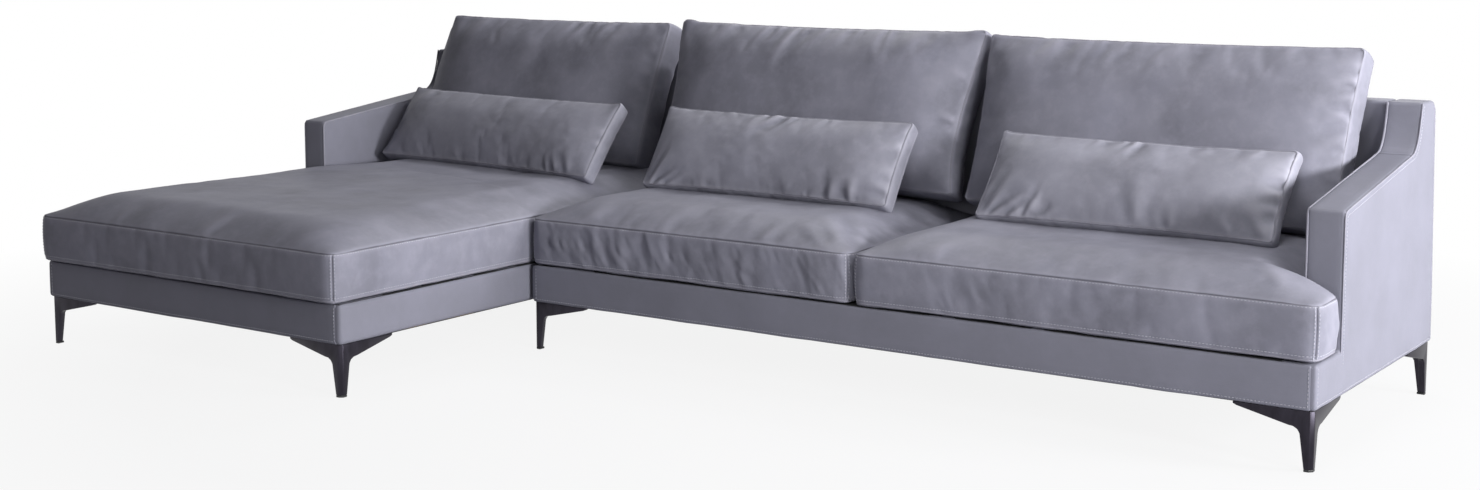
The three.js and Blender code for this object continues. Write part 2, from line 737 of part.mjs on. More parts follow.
// Back cushions stand on the seat cushions and lean on the back panels' top edges
const chaiseArmX = chaiseModule.outerX + armThickness;
const sofaArmX = sofaModule.outerX - armThickness;
const backCushions = [
  {
    name: 'chaise_back_cushion', module: chaiseModule, seat: chaiseSeat,
    left: chaiseArmX + chaiseBackCushionArmInset,
    right: chaiseModule.innerX - chaiseBackCushionEndInset,
  },
  {
    name: 'left_back_cushion', module: sofaModule, seat: leftSeat,
    left: sofaModule.innerX + leftBackCushionEndInset,
    right: seatDivideX - leftBackCushionDivideInset,
  },
  {
    name: 'right_back_cushion', module: sofaModule, seat: rightSeat,
    left: seatDivideX + rightBackCushionDivideInset,
    right: sofaArmX - rightBackCushionArmInset,
  },
];
for (const { name, module, seat, left, right } of backCushions) {
  const place = {
    seat,
    x: (left + right) / 2,
    leanDegrees: backCushionLean,
    turnDegrees: 0,
    behind: behindLean(panelFrontY(module), backHeight) - backCushionPanelGap,
  };
  addLeaningCushion(name, place, {
    width: right - left,
    height: backCushionHeight,
    box: backCushionBox,
    rearCrown: backCushionRearCrown,
    frontCrown: backCushionFrontCrown,
    radius: backCushionRadius,
    drawIn: backCushionDrawIn,
  });
}

// Lumbar pillows lean on the back cushions; the chaise's is turned a little
const pillows = [
  {
    name: 'chaise_lumbar_pillow', module: chaiseModule, seat: chaiseSeat,
    left: chaiseArmX + chaisePillowArmInset,
    right: chaiseModule.innerX - chaisePillowEndInset,
    lean: chaisePillowLean, turn: chaisePillowTurn, advance: chaisePillowAdvance,
  },
  {
    name: 'left_lumbar_pillow', module: sofaModule, seat: leftSeat,
    left: sofaModule.innerX + leftPillowEndInset,
    right: seatDivideX - leftPillowDivideInset,
    lean: leftPillowLean, turn: 0, advance: 0,
  },
  {
    name: 'right_lumbar_pillow', module: sofaModule, seat: rightSeat,
    left: seatDivideX + rightPillowDivideInset,
    right: sofaArmX - rightPillowArmInset,
    lean: rightPillowLean, turn: 0, advance: 0,
  },
];
for (const { name, module, seat, left, right, lean, turn, advance } of pillows) {
  const cushionFront = behindLean(panelFrontY(module), backHeight) - backCushionPanelGap
    - backCushionRearCrown - backCushionBox - backCushionFrontCrown;
  const place = {
    seat,
    x: (left + right) / 2,
    leanDegrees: lean,
    turnDegrees: turn,
    behind: cushionFront - pillowGap - advance,
  };
  addLeaningCushion(name, place, {
    width: right - left,
    height: pillowHeight,
    box: pillowBox,
    rearCrown: pillowCrown,
    frontCrown: pillowCrown,
    radius: pillowRadius,
    drawIn: pillowDrawIn,
  });
}

// The origin is under the middle of the whole sofa, on the floor
sofa.updateMatrixWorld(true);
const extent = new THREE.Box3().setFromObject(sofa, true);
sofa.position.set(-(extent.min.x + extent.max.x) / 2, -(extent.min.y + extent.max.y) / 2, -extent.min.z);

export default sofa;
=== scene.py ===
import math

import bmesh
import bpy
import numpy as np
from mathutils import Matrix, Vector
from mathutils.bvhtree import BVHTree


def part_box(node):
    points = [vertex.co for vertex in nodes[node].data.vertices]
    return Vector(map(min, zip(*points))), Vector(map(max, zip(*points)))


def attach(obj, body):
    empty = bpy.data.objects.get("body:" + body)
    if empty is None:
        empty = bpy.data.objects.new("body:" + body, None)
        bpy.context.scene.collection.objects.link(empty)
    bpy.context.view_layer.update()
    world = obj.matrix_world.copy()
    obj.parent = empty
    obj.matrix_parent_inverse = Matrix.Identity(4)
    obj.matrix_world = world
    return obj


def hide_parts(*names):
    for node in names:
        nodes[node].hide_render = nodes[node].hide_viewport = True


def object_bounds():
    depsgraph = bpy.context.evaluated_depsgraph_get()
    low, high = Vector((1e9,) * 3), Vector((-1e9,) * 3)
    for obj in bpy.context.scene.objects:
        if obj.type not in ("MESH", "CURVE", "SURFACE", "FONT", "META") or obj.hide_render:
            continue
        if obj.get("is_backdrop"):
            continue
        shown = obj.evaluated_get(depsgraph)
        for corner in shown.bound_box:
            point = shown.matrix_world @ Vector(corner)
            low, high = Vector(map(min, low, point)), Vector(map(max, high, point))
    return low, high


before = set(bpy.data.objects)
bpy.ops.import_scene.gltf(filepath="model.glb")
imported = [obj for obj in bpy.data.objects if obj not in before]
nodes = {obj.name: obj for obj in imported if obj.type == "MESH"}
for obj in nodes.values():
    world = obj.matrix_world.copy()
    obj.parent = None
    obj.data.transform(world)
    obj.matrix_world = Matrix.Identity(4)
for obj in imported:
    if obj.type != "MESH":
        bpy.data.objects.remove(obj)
cadLow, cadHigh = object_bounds()
scene = bpy.context.scene

# places are measured from the chaise's outer side and the front of the two-seat base
x0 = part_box("chaise_arm_leather")[0].x
y0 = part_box("sofa_front_leather")[0].y
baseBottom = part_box("sofa_front_leather")[0].z
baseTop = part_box("sofa_deck_cloth")[1].z
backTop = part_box("sofa_back_leather")[1].z


def intoScene(name, data):
    obj = bpy.data.objects.new(name, data)
    scene.collection.objects.link(obj)
    return obj


# width, focal length and shift in the photograph's pixels, place in metres, angles in degrees
view = {"width": 1480, "focal": 1960.43, "shift": -100, "sensor": 36,
        "place": (5.0471, -4.3926, 1.2681), "turn": 34.625, "down": 6.464}


def lookFrom(view):
    data = bpy.data.cameras.new("photoCamera")
    data.sensor_width = view["sensor"]
    data.lens = view["sensor"] * view["focal"] / view["width"]
    data.shift_y = view["shift"] / view["width"]
    camera = intoScene("photoCamera", data)
    x, y, z = view["place"]
    camera.location = (x0 + x, y0 + y, z)
    camera.rotation_euler = (math.radians(90 - view["down"]), 0, math.radians(view["turn"]))
    scene.camera = camera


lookFrom(view)
scene.view_settings.view_transform = "Standard"


def softBox(name, place, target, size, watts, tint=(1, 1, 1)):
    data = bpy.data.lights.new(name, "AREA")
    data.shape = "RECTANGLE"
    data.size, data.size_y = size
    data.energy = watts
    data.color = tint
    lamp = intoScene(name, data)
    lamp.location = place
    aim = Vector(target) - Vector(place)
    lamp.rotation_euler = aim.to_track_quat("-Z", "Y").to_euler()


softBox("keyRight", (8.5, -2.2, 1.7), (0.3, 0, 0.45), (1.6, 1.0), 590)
softBox("rightSide", (4.2, 0.7, 1.2), (0.3, 0, 0.45), (0.9, 0.6), 100)
softBox("highRightFront", (4.8, -2.4, 3.5), (0.3, 0, 0.45), (1.4, 0.8), 82)
softBox("overhead", (1.7, 0.5, 2.9), (0.8, 0.1, 0.45), (1.2, 0.5), 28)
softBox("rearTop", (-0.95, 1.7, 2.6), (-0.4, 0, 0.45), (1.1, 0.6), 28)
softBox("lowFront", (1.2, -1.7, 0.9), (0.5, 0.2, 0.5), (1.4, 0.4), 8)
softBox("frontLeft", (-2.9, -2.6, 0.8), (-1.3, -0.8, 0.3), (0.8, 0.5), 3, (1.0, 0.93, 1.0))
softBox("farBehind", (-0.6, 4.6, 2.2), (0, 0.5, 0.4), (3.0, 1.6), 30)


def linear(hexColour):
    parts = [int(hexColour[i:i + 2], 16) / 255 for i in (1, 3, 5)]
    return (*(c / 12.92 if c <= 0.04045 else ((c + 0.055) / 1.055) ** 2.4 for c in parts), 1)


# Sets a node's inputs and settings. A socket is linked, and a node by its first output.
def feed(node, feeds):
    for key, value in feeds.items():
        if isinstance(value, bpy.types.Node):
            value = value.outputs[0]
        if isinstance(value, bpy.types.NodeSocket):
            node.id_data.links.new(value, node.inputs[key])
        elif isinstance(key, int) or key in node.inputs:
            node.inputs[key].default_value = value
        else:
            setattr(node, key, value)


# Nodes lie in a row, in the order they are made. Stops are places and colours of a colour ramp.
def addNode(tree, kind, feeds={}, stops=(), **settings):
    node = tree.nodes.new("ShaderNode" + kind)
    node.location = 220 * len(tree.nodes), 0
    feed(node, settings)
    feed(node, feeds)
    for k, (spot, colour) in enumerate(stops):
        node.color_ramp.elements[k].position = spot
        node.color_ramp.elements[k].color = linear(colour)
    return node


def emptyTree(owner):
    owner.use_nodes = True
    owner.node_tree.nodes.clear()
    return owner.node_tree


# One for rays of the named kinds and nought for all others.
def rayShare(tree, *kinds):
    path = addNode(tree, "LightPath")
    seen = path.outputs[kinds[0]]
    for kind in kinds[1:]:
        seen = addNode(tree, "Math", {0: seen, 1: path.outputs[kind]}, operation="MAXIMUM")
    return seen


# The room is seen as white, and gives the sofa only a little light of its own.
def paleRoom(ambient):
    scene.world = bpy.data.worlds.new("paleRoom")
    tree = emptyTree(scene.world)
    room = addNode(tree, "Background", Color=linear("#f4f4f8"), Strength=ambient)
    white = addNode(tree, "Background", Color=(1, 1, 1, 1), Strength=1)
    seen = rayShare(tree, "Is Camera Ray", "Is Glossy Ray", "Is Transmission Ray")
    mix = addNode(tree, "MixShader", {0: seen, 1: room, 2: white})
    addNode(tree, "OutputWorld", {0: mix})


paleRoom(0.025)
print("camera, lamps and room")


# A material with its shader, and the coordinates that its patterns follow.
def newMaterial(name, feeds):
    mat = bpy.data.materials.new(name)
    tree = emptyTree(mat)
    shader = addNode(tree, "BsdfPrincipled", feeds)
    addNode(tree, "OutputMaterial", {0: shader})
    coords = addNode(tree, "TexCoord")
    return mat, tree, shader, coords.outputs["Object"]


# Colour between tones and relief, both from one pattern.
def patternTone(tree, shader, pattern, stops, strength=0, depth=0):
    feed(shader, {"Base Color": addNode(tree, "ValToRGB", {0: pattern}, stops)})
    if strength:
        relief = addNode(tree, "Bump", Height=pattern, Strength=strength, Distance=depth)
        feed(shader, {"Normal": relief})


# Marks of the leather: size in millimetres, detail and roughness of the noise. Real pores and
# grain are under half a millimetre and are drawn coarser, so that they show from here.
leatherMarks = {"shade": (181.8, 4, 0.55), "mottle": (38.46, 5, 0.6), "grain": (4.167, 3, 0.6),
                "crease": (29.41, 6, 0.62)}
poreSize = 1.613


# Aniline cowhide, dyed through and lightly buffed: matte and cool grey, with fine pores, a soft
# mottle, paler ridges where it is rubbed, and dark lines along its seams: painted shade with some
# dirt.
def leatherMaterial(name, base, light, dark, roughness, blotch):
    mat, tree, shader, spot = newMaterial(name, {"Roughness": roughness, "IOR": 1.5,
                                                 "Specular IOR Level": 0.12})
    marks = {key: addNode(tree, "TexNoise", Vector=spot, Scale=1000 / size, Detail=detail,
                          Roughness=rough) for key, (size, detail, rough) in leatherMarks.items()}
    marks["pore"] = addNode(tree, "TexVoronoi", Vector=spot, feature="DISTANCE_TO_EDGE",
                            Scale=1000 / poreSize)
    blotches = addNode(tree, "MapRange", {"Value": marks["mottle"], "From Min": 0.45,
                                          "From Max": 0.75, "To Max": blotch})
    rubbed, seamShadeAndDirt = (addNode(tree, "Attribute", attribute_name=key).outputs["Fac"]
                      for key in ("rubbed", "seamShadeAndDirt"))
    colour = addNode(tree, "ValToRGB", {0: marks["shade"]}, ((0.36, dark), (0.66, base)))
    # seams and creases are darkened towards #2c2b31: painted shade, with some dirt
    for cover, tint in ((blotches, light), (rubbed, light), (seamShadeAndDirt, "#2c2b31")):
        colour = addNode(tree, "Mix", {0: cover, 6: colour, 7: linear(tint)},
                         data_type="RGBA").outputs[2]
    rough = addNode(tree, "MapRange", {"Value": marks["mottle"], "To Min": roughness - 0.07,
                                       "To Max": roughness + 0.09})
    relief = {}
    for key, strength, depth in (("pore", 0.25, 0.0003), ("grain", 0.3, 0.0006),
                                 ("crease", 0.34, 0.0014)):
        relief["Normal"] = addNode(tree, "Bump", relief, Height=marks[key], Strength=strength,
                                   Distance=depth)
    feed(shader, {"Base Color": colour, "Roughness": rough, **relief})
    return mat


leather = leatherMaterial("buffedGreyLeather", "#7f7f8c", "#9e9daa", "#70707b", 0.53, 0.24)
frameLeather = leatherMaterial("stretchedGreyLeather", "#7c7c88", "#8c8b98", "#777782", 0.52, 0.12)
# the pillows' leather is thinner and softer, and a little paler
pillowLeather = leatherMaterial("softGreyLeather", "#8c8c99", "#acabb7", "#7c7c87", 0.53, 0.22)
seamLeather = leatherMaterial("foldedLeatherEdge", "#8c8b96", "#a5a4b0", "#7f7e89", 0.5, 0.2)

wavePeriod = 310  # millimetres between the bands of a wave texture of scale one


# Polyester thread, twisted and waxed: pale, with the light and dark of its twist.
def threadMaterial(twist):
    mat, tree, shader, spot = newMaterial("waxedThread", {"Roughness": 0.6, "IOR": 1.53})
    strands = addNode(tree, "TexWave", Vector=spot, Scale=wavePeriod / twist, Distortion=1)
    patternTone(tree, shader, strands, ((0, "#8f8f9a"), (1, "#c9c9d2")))
    return mat


# Rolled, sprayed or moulded: faint clouds that the making draws out along one axis. Size is in
# millimetres.
def smoothMaterial(name, dark, light, metallic, roughness, size, streak):
    mat, tree, shader, spot = newMaterial(name, {"Roughness": roughness, "Metallic": metallic})
    drawn = addNode(tree, "Mapping", Vector=spot, Scale=streak)
    cloud = addNode(tree, "TexNoise", Vector=drawn, Scale=1000 / size, Detail=4, Roughness=0.6)
    rough = addNode(tree, "MapRange", {"Value": cloud, "To Min": roughness - 0.06,
                                       "To Max": roughness + 0.08})
    feed(shader, {"Roughness": rough})
    patternTone(tree, shader, cloud, ((0.3, dark), (0.7, light)), 0.15, 0.0003)
    return mat


# Sawn and planed pine: yellow brown, with grain that runs along the board.
def woodMaterial(grainLength, slimness):
    mat, tree, shader, spot = newMaterial("planedPine", {"Roughness": 0.65, "IOR": 1.5})
    drawn = addNode(tree, "Mapping", Vector=spot, Scale=(1, slimness, slimness))
    rings = addNode(tree, "TexNoise", Vector=drawn, Scale=1000 / grainLength, Detail=6,
                    Distortion=0.6)
    patternTone(tree, shader, rings, ((0.35, "#9b7448"), (0.68, "#cba777")), 0.2, 0.0005)
    return mat


# Plain weave: threads run both ways, pitch millimetres apart, and rise where they cross.
def clothMaterial(name, dark, light, pitch):
    mat, tree, shader, spot = newMaterial(name, {"Roughness": 0.9, "IOR": 1.46})
    along, across = (addNode(tree, "TexWave", Vector=spot, Scale=wavePeriod / pitch,
                             bands_direction=way) for way in "XY")
    weave = addNode(tree, "Math", {0: along, 1: across}, operation="MAXIMUM")
    patternTone(tree, shader, weave, ((0, dark), (1, light)), 0.5, pitch / 3000)
    return mat


thread = threadMaterial(0.3444)
# lacquer sprayed on bent steel: dark with a violet cast and a soft gloss
gunmetal = smoothMaterial("satinGunmetalLacquer", "#211e26", "#312e38", 0.75, 0.32, 25, (1, 1, 0.3))
# polypropylene moulded in a textured die: black and dull
blackPlastic = smoothMaterial("mouldedBlackPlastic", "#0f0f11", "#1b1b1e", 0, 0.5, 6.25, (1, 1, 1))
# steel rolled and zinc plated: pale, with streaks along the strip
zinc = smoothMaterial("rolledZincSteel", "#85888c", "#b4b7ba", 1, 0.38, 16.67, (1, 6, 1))
pine = woodMaterial(285.7, 14)
dustCloth = clothMaterial("spunBlackCloth", "#101012", "#222226", 1.2)
webbingCloth = clothMaterial("wovenElasticWebbing", "#1d1d20", "#3a3a3f", 2.5)
print("materials", len(bpy.data.materials))


def share(values):
    return np.clip(values, 0, 1)


def ease(t):
    return t * t * (3 - 2 * t)


# One at a place and nought some widths away from it.
def bell(away, width):
    return np.exp(-(away / width) ** 2)


def unitRows(vectors):
    return vectors / np.maximum(np.linalg.norm(vectors, axis=1, keepdims=True), 1e-9)


# Smooth noise from -1 to 1 with features of about size metres.
def softNoise(points, size, seed):
    scaled = points / size
    cell = np.floor(scaled).astype(np.int64)
    part = ease(scaled - cell)
    total = np.zeros(len(points))
    for corner in np.ndindex(2, 2, 2):
        x, y, z = (cell + corner).T
        key = (x * 73856093) ^ (y * 19349663) ^ (z * 83492791) ^ (seed * 2654435)
        key = ((key & 0xFFFFFF) * 1103515245 + 12345) & 0x7FFFFFFF
        key = ((key ^ (key >> 13)) * 1103515245 + 12345) & 0x7FFFFFFF
        near = np.where(corner, part, 1 - part)
        total += (key / 0x3FFFFFFF - 1) * (near[:, 0] * near[:, 1]) * near[:, 2]
    return total


def smoothObject(name, mesh, material):
    mesh.materials.append(material)
    mesh.polygons.foreach_set("use_smooth", [True] * len(mesh.polygons))
    return intoScene(name, mesh)


def meshObject(name, points, faces, material):
    mesh = bpy.data.meshes.new(name)
    mesh.from_pydata([tuple(p) for p in points], [], [tuple(f) for f in faces])
    mesh.update()
    return smoothObject(name, mesh, material)


def vectorsOf(data, key):
    values = np.empty(len(data) * 3)
    data.foreach_get(key, values)
    return values.reshape(-1, 3)


def pointsOf(obj):
    return vectorsOf(obj.data.vertices, "co")


def normalsOf(obj):
    return vectorsOf(obj.data.vertices, "normal")


def clothOf(obj):
    return vectorsOf(obj.data.attributes["cloth"].data, "vector")


def movePoints(obj, points):
    obj.data.vertices.foreach_set("co", np.asarray(points, float).ravel())
    obj.data.update()


# Keeps a number or a vector for each point of the mesh.
def markPoints(obj, name, values):
    kind, key = ("FLOAT", "value") if values.ndim == 1 else ("FLOAT_VECTOR", "vector")
    obj.data.attributes.new(name, kind, "POINT").data.foreach_set(key, values.ravel())


# Faces between rings of points that follow one another, with end caps unless they close up.
def ringFaces(start, rings, sides, closed=False):
    faces = []
    for i in range(rings if closed else rings - 1):
        low, high = start + i * sides, start + (i + 1) % rings * sides
        for k in range(sides):
            m = (k + 1) % sides
            faces.append((low + k, low + m, high + m, high + k))
    if not closed:
        faces.append(tuple(range(start, start + sides))[::-1])
        faces.append(tuple(range(start + (rings - 1) * sides, start + rings * sides)))
    return faces


# Round cord along a path of points, all in metres.
def tube(name, path, radius, material, closed=False, sides=8):
    path = np.asarray(path, float)
    tangents = np.roll(path, -1, 0) - np.roll(path, 1, 0) if closed else np.gradient(path, axis=0)
    tangents = unitRows(tangents)
    side = np.cross(tangents[0], (0.31, 0.17, 0.93))  # any direction that no path follows
    side /= np.linalg.norm(side)
    across = []
    for tangent in tangents:
        side = side - tangent * side.dot(tangent)
        side /= max(np.linalg.norm(side), 1e-9)
        across.append(side)
    across = np.array(across)
    up = np.cross(tangents, across)
    turns = np.arange(sides) * 2 * math.pi / sides
    rings = (path[:, None, :] + radius * (np.cos(turns)[None, :, None] * across[:, None, :]
             + np.sin(turns)[None, :, None] * up[:, None, :]))
    return meshObject(name, rings.reshape(-1, 3), ringFaces(0, len(path), sides, closed), material)


# The same path with points at an even step, and its tangents.
def evenPath(path, step, closed=False):
    path = np.asarray(path, float)
    if closed:
        path = np.vstack([path, path[:1]])
    lengths = np.linalg.norm(np.diff(path, axis=0), axis=1)
    reach = np.concatenate([[0], np.cumsum(lengths)])
    count = max(2, int(reach[-1] / step))
    stops = np.linspace(0, reach[-1], count + 1)
    even = np.stack([np.interp(stops, reach, path[:, k]) for k in range(3)], 1)
    return even, unitRows(np.gradient(even, axis=0))


# sunk is how much of the thread's end lies in the leather
stitch = {"pitch": 0.009, "length": 0.0058, "width": 0.0013, "rise": 0.0004, "sunk": 0.4,
          "sides": 5, "profile": [(-0.5, 0.55), (-0.3, 1), (0.3, 1), (0.5, 0.55)]}


# A row of single stitches along a path, lying on the surface that the normals point out of.
def stitchRow(name, path, normals, closed=False):
    even, tangents = evenPath(path, stitch["pitch"], closed)
    path = np.asarray(path, float)
    nearest = np.array([np.argmin(((path - p) ** 2).sum(1)) for p in even])
    normal = unitRows(np.asarray(normals, float)[nearest])
    across = np.cross(normal, tangents)
    sides, length, width = stitch["sides"], stitch["length"], stitch["width"]
    points, faces = [], []
    for p, t, n, a in zip(even, tangents, normal, across):
        start = len(points)
        for along, swell in stitch["profile"]:
            lift = stitch["rise"] * (swell - stitch["sunk"])
            for turn in np.arange(sides) * 2 * math.pi / sides:
                points.append(p + t * along * length + n * lift
                              + swell * width / 2 * (a * math.cos(turn) + n * math.sin(turn)))
        faces += ringFaces(start, len(stitch["profile"]), sides)
    return meshObject(name, points, faces, thread)


def cutAcross(bm, axis, spot):
    centre, normal = [0, 0, 0], [0, 0, 0]
    centre[axis], normal[axis] = spot, 1
    bmesh.ops.bisect_plane(bm, geom=bm.verts[:] + bm.edges[:] + bm.faces[:],
                           plane_co=centre, plane_no=normal, dist=1e-6)


# Rounds the edges where two faces meet at more than an angle in degrees.
def breakEdges(bm, angle, size, segments):
    sharp = [e for e in bm.edges
             if len(e.link_faces) == 2 and e.calc_face_angle(0) > math.radians(angle)]
    bmesh.ops.bevel(bm, geom=sharp, offset=size, offset_type="OFFSET", segments=segments,
                    profile=0.5, affect="EDGES", clamp_overlap=True)


def fromBmesh(bm, name, material):
    mesh = bpy.data.meshes.new(name)
    bm.to_mesh(mesh)
    bm.free()
    return smoothObject(name, mesh, material)


# how far the stretched leather gives, and the valley and shoulders of a tucked seam, with the
# painted shade and some dirt in its valley
tuck = {"broad": (0.0011, 0.16), "fine": (0.0005, 0.05), "depth": 0.0030, "width": 0.0016,
        "shoulder": (0.0010, 0.005, 0.003), "shadeAndDirt": 0.8,
        "cuts": (-0.006, -0.003, -0.0012, 0, 0.0012, 0.003, 0.006)}


# An outline of y and z run between two places in x, with rolled edges and leather that gives a
# little between them. Creases are tucked seams across the top: each has an axis and a place.
def upholstered(name, outline, ends, radius, step, seed, creases=()):
    bm = bmesh.new()
    near, far = ([bm.verts.new((x, y, z)) for y, z in outline] for x in sorted(ends))
    bm.faces.new(near[::-1])
    bm.faces.new(far)
    count = len(outline)
    for i in range(count):
        j = (i + 1) % count
        bm.faces.new((near[i], near[j], far[j], far[i]))
    bmesh.ops.recalc_face_normals(bm, faces=bm.faces[:])
    breakEdges(bm, 24, radius, 4)
    for axis in range(3):
        spots = [v.co[axis] for v in bm.verts]
        low, length = min(spots), max(spots) - min(spots)
        cuts = int(length / step)
        for i in range(1, cuts + 1):
            cutAcross(bm, axis, low + length * i / (cuts + 1))
    for axis, spot in creases:
        for aside in tuck["cuts"]:
            cutAcross(bm, axis, spot + aside)
    bmesh.ops.remove_doubles(bm, verts=bm.verts[:], dist=1e-5)
    obj = fromBmesh(bm, name, frameLeather)
    points, normals = pointsOf(obj), normalsOf(obj)
    (broadDepth, broadSize), (fineDepth, fineSize) = tuck["broad"], tuck["fine"]
    give = broadDepth * softNoise(points, broadSize, seed) \
        + fineDepth * softNoise(points, fineSize, seed + 5)
    seamShadeAndDirt = np.zeros(len(points))
    rise, aside, width = tuck["shoulder"]
    for axis, spot in creases:
        away = points[:, axis] - spot
        on = share(2 * normals[:, 2] - 0.4)  # only where the leather faces up
        valley = bell(away, tuck["width"])
        give -= on * (tuck["depth"] * valley - rise * bell(np.abs(away) - aside, width))
        # the crease's valley is painted darker: painted shade, with some dirt
        seamShadeAndDirt = np.maximum(seamShadeAndDirt, tuck["shadeAndDirt"] * on * valley)
    movePoints(obj, points + normals * give[:, None])
    markPoints(obj, "seamShadeAndDirt", seamShadeAndDirt)
    return obj


# A path let down onto a piece, with the piece's normals there.
def laidOn(obj, path):
    mesh = obj.data
    tree = BVHTree.FromPolygons([v.co for v in mesh.vertices], [p.vertices for p in mesh.polygons])
    spots = [tree.find_nearest(Vector(p)) for p in path]
    return np.array([s[0] for s in spots]), np.array([s[1] for s in spots])


def finishPiece(obj, body, slot, *replaced):
    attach(obj, body)
    if replaced:
        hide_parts(*replaced)


# the two bases, in metres from x0 and y0: the chaise on the left and the two-seat one
modules = {
    "chaise": {"outer": 0.0, "inner": 1.246, "front": -0.767, "back": 1.110,
               "armLength": 0.833, "armRise": 0.066},
    "sofa": {"outer": 3.627, "inner": 1.256, "front": 0.0, "back": 0.955,
             "armLength": 0.779, "armRise": 0.080},
}
# riser: the curve from the arm up to the back, by its distances from the rear
arm = {"width": 0.095, "frontHeight": 0.593, "riserStart": 0.250, "riserBend": 0.185,
       "riserTop": 0.167, "lean": 0.043, "round": 0.022, "panelStep": 0.012, "roll": 0.010,
       "crease": 0.004, "welts": {"inner": 0.0032, "outer": 0.0022},
       "weltIn": 0.0024, "weltFoot": 0.02, "weltTurn": (0.004, 0.012)}
# the front panel lies a little proud between the arm side and the inner side
panel = {"proud": 0.0018, "short": 0.0006, "depth": 0.03, "outerGap": 0.013, "innerGap": 0.015,
         "innerDepth": 0.04, "innerOver": 0.006, "backGap": 0.001, "innerRoll": 0.012,
         "frontRoll": 0.006}
# how far in from the edges the rows of stitches run
rowIn = {"arm": 0.009, "edge": 0.012, "low": 0.009, "side": 0.006, "front": 0.02, "rear": 0.03,
         "frontEnd": 0.014}


def curveBetween(a, b, c, steps):
    return [tuple((1 - t) ** 2 * np.array(a) + 2 * t * (1 - t) * np.array(b) + t * t * np.array(c))
            for t in np.linspace(0, 1, steps + 1)]


# Side view of the arm and the base side under it, points of y and z, from the lower front.
def armProfile(module, front, back):
    armFront = back - module["armLength"]
    foot = arm["frontHeight"] + module["armRise"]
    riser = curveBetween((back - arm["riserTop"], backTop), (back - arm["riserBend"], foot),
                         (back - arm["riserStart"], foot), 6)
    return [(front, baseBottom), (back, baseBottom),
            (back - arm["lean"], backTop - arm["round"]),
            (back - arm["lean"] - arm["round"], backTop), *riser,
            (armFront, arm["frontHeight"]), (armFront, baseTop), (front, baseTop)]


def oblong(low, high, bottom, top):
    return [(low, bottom), (high, bottom), (high, top), (low, top)]


for name, module in modules.items():
    inward = 1 if module["inner"] > module["outer"] else -1
    outerX, innerX = x0 + module["outer"], x0 + module["inner"]
    armX = outerX + inward * arm["width"]
    frontY, backY = y0 + module["front"], y0 + module["back"]
    panelY = backY - arm["riserTop"] + arm["panelStep"]
    armFrontY = backY - module["armLength"]
    profile = armProfile(module, frontY, backY)
    backProfile = [(panelY, baseBottom), *profile[1:4], (panelY, backTop)]
    frontEnds = sorted((outerX + inward * panel["outerGap"], innerX - inward * panel["innerGap"]))
    panels = {
        "side_leather": ("arm_leather", profile, (outerX, armX), arm["roll"], 0.03, 3,
                         [(1, backY - arm["riserStart"] + arm["crease"])]),
        "back_shell": ("back_leather", backProfile, (armX + inward * panel["backGap"], innerX),
                       arm["roll"], 0.04, 7),
        "inner_side": ("inner_leather",
                       oblong(frontY, panelY + panel["innerOver"], baseBottom, baseTop),
                       (innerX, innerX - inward * panel["innerDepth"]),
                       panel["innerRoll"], 0.03, 11),
        "front_panel": ("front_leather",
                        oblong(frontY - panel["proud"], frontY + panel["depth"],
                               baseBottom + panel["short"], baseTop - panel["short"]),
                        frontEnds, panel["frontRoll"], 0.03, 13),
    }
    shells = {}
    for ending, (node, *shape) in panels.items():
        shells[ending] = upholstered(f"{name}_{ending}", *shape)
        finishPiece(shells[ending], "sofa_frame", "leather", f"{name}_{node}")

    # welts along the arm's upper edges: up its front, along its top and up the riser
    inset, (turnY, turnZ) = arm["weltIn"], arm["weltTurn"]
    top = profile[4:11][::-1]
    armEdge = [(armFrontY + inset, baseTop - arm["weltFoot"]),
               (armFrontY + inset, arm["frontHeight"] - turnZ),
               (armFrontY + inset + turnY, arm["frontHeight"] - inset)]
    armEdge += [(y, z - inset) for y, z in top[:-1]]
    armEdge += [(top[-1][0] + inset, top[-1][1] - inset)]
    for side, edgeX in (("inner", armX - inward * inset), ("outer", outerX + inward * inset)):
        line, _ = evenPath([(edgeX, y, z) for y, z in armEdge], 0.012)
        welt = tube(f"{name}_arm_welt_{side}", line, arm["welts"][side], seamLeather)
        finishPiece(welt, "sofa_frame", "leather")

    # rows of stitches: beside the arm's outer edge, round the front panel and along the base
    edge, low, high = rowIn["edge"], baseBottom + rowIn["edge"], baseTop - rowIn["edge"]
    acrossY = frontY - 0.002  # just ahead of the front panel
    outerEnd = outerX + inward * (panel["outerGap"] + rowIn["side"])
    innerEnd = innerX - inward * (panel["innerGap"] + rowIn["side"])
    side, front = shells["side_leather"], shells["front_panel"]
    rows = {
        "outer": (side, [(outerX, y + rowIn["arm"], z - rowIn["arm"]) for y, z in armEdge]),
        "corner": (side, [(outerX, frontY + edge, z) for z in (low, high)]),
        "front_outer": (front, [(outerEnd, acrossY, z) for z in (low, high)]),
        "front_inner": (front, [(innerEnd, acrossY, z) for z in (low, high)]),
        "front_low": (front, [(x, acrossY, baseBottom + rowIn["low"]) for x in (
            frontEnds[0] + rowIn["frontEnd"], frontEnds[1] - rowIn["frontEnd"])]),
        "side_low": (side, [(outerX, y, low) for y in (frontY + rowIn["front"],
                                                       backY - rowIn["rear"])]),
    }
    for rowName, (piece, line) in rows.items():
        laid, normals = laidOn(piece, evenPath(line, stitch["pitch"])[0])
        row = stitchRow(f"{name}_{rowName}_stitches", laid, normals)
        finishPiece(row, "sofa_frame", "leather")
    print("module", name)


# Places along a side from -length/2 to length/2, closer together beside the seams.
def stations(length, step, close):
    close = np.array(close)
    inner = length - 2 * close[-1]
    middle = np.linspace(close[-1], length - close[-1], max(2, round(inner / step)) + 1)
    return np.concatenate([[0], close[:-1], middle, (length - close[:-1])[::-1],
                           [length]]) - length / 2


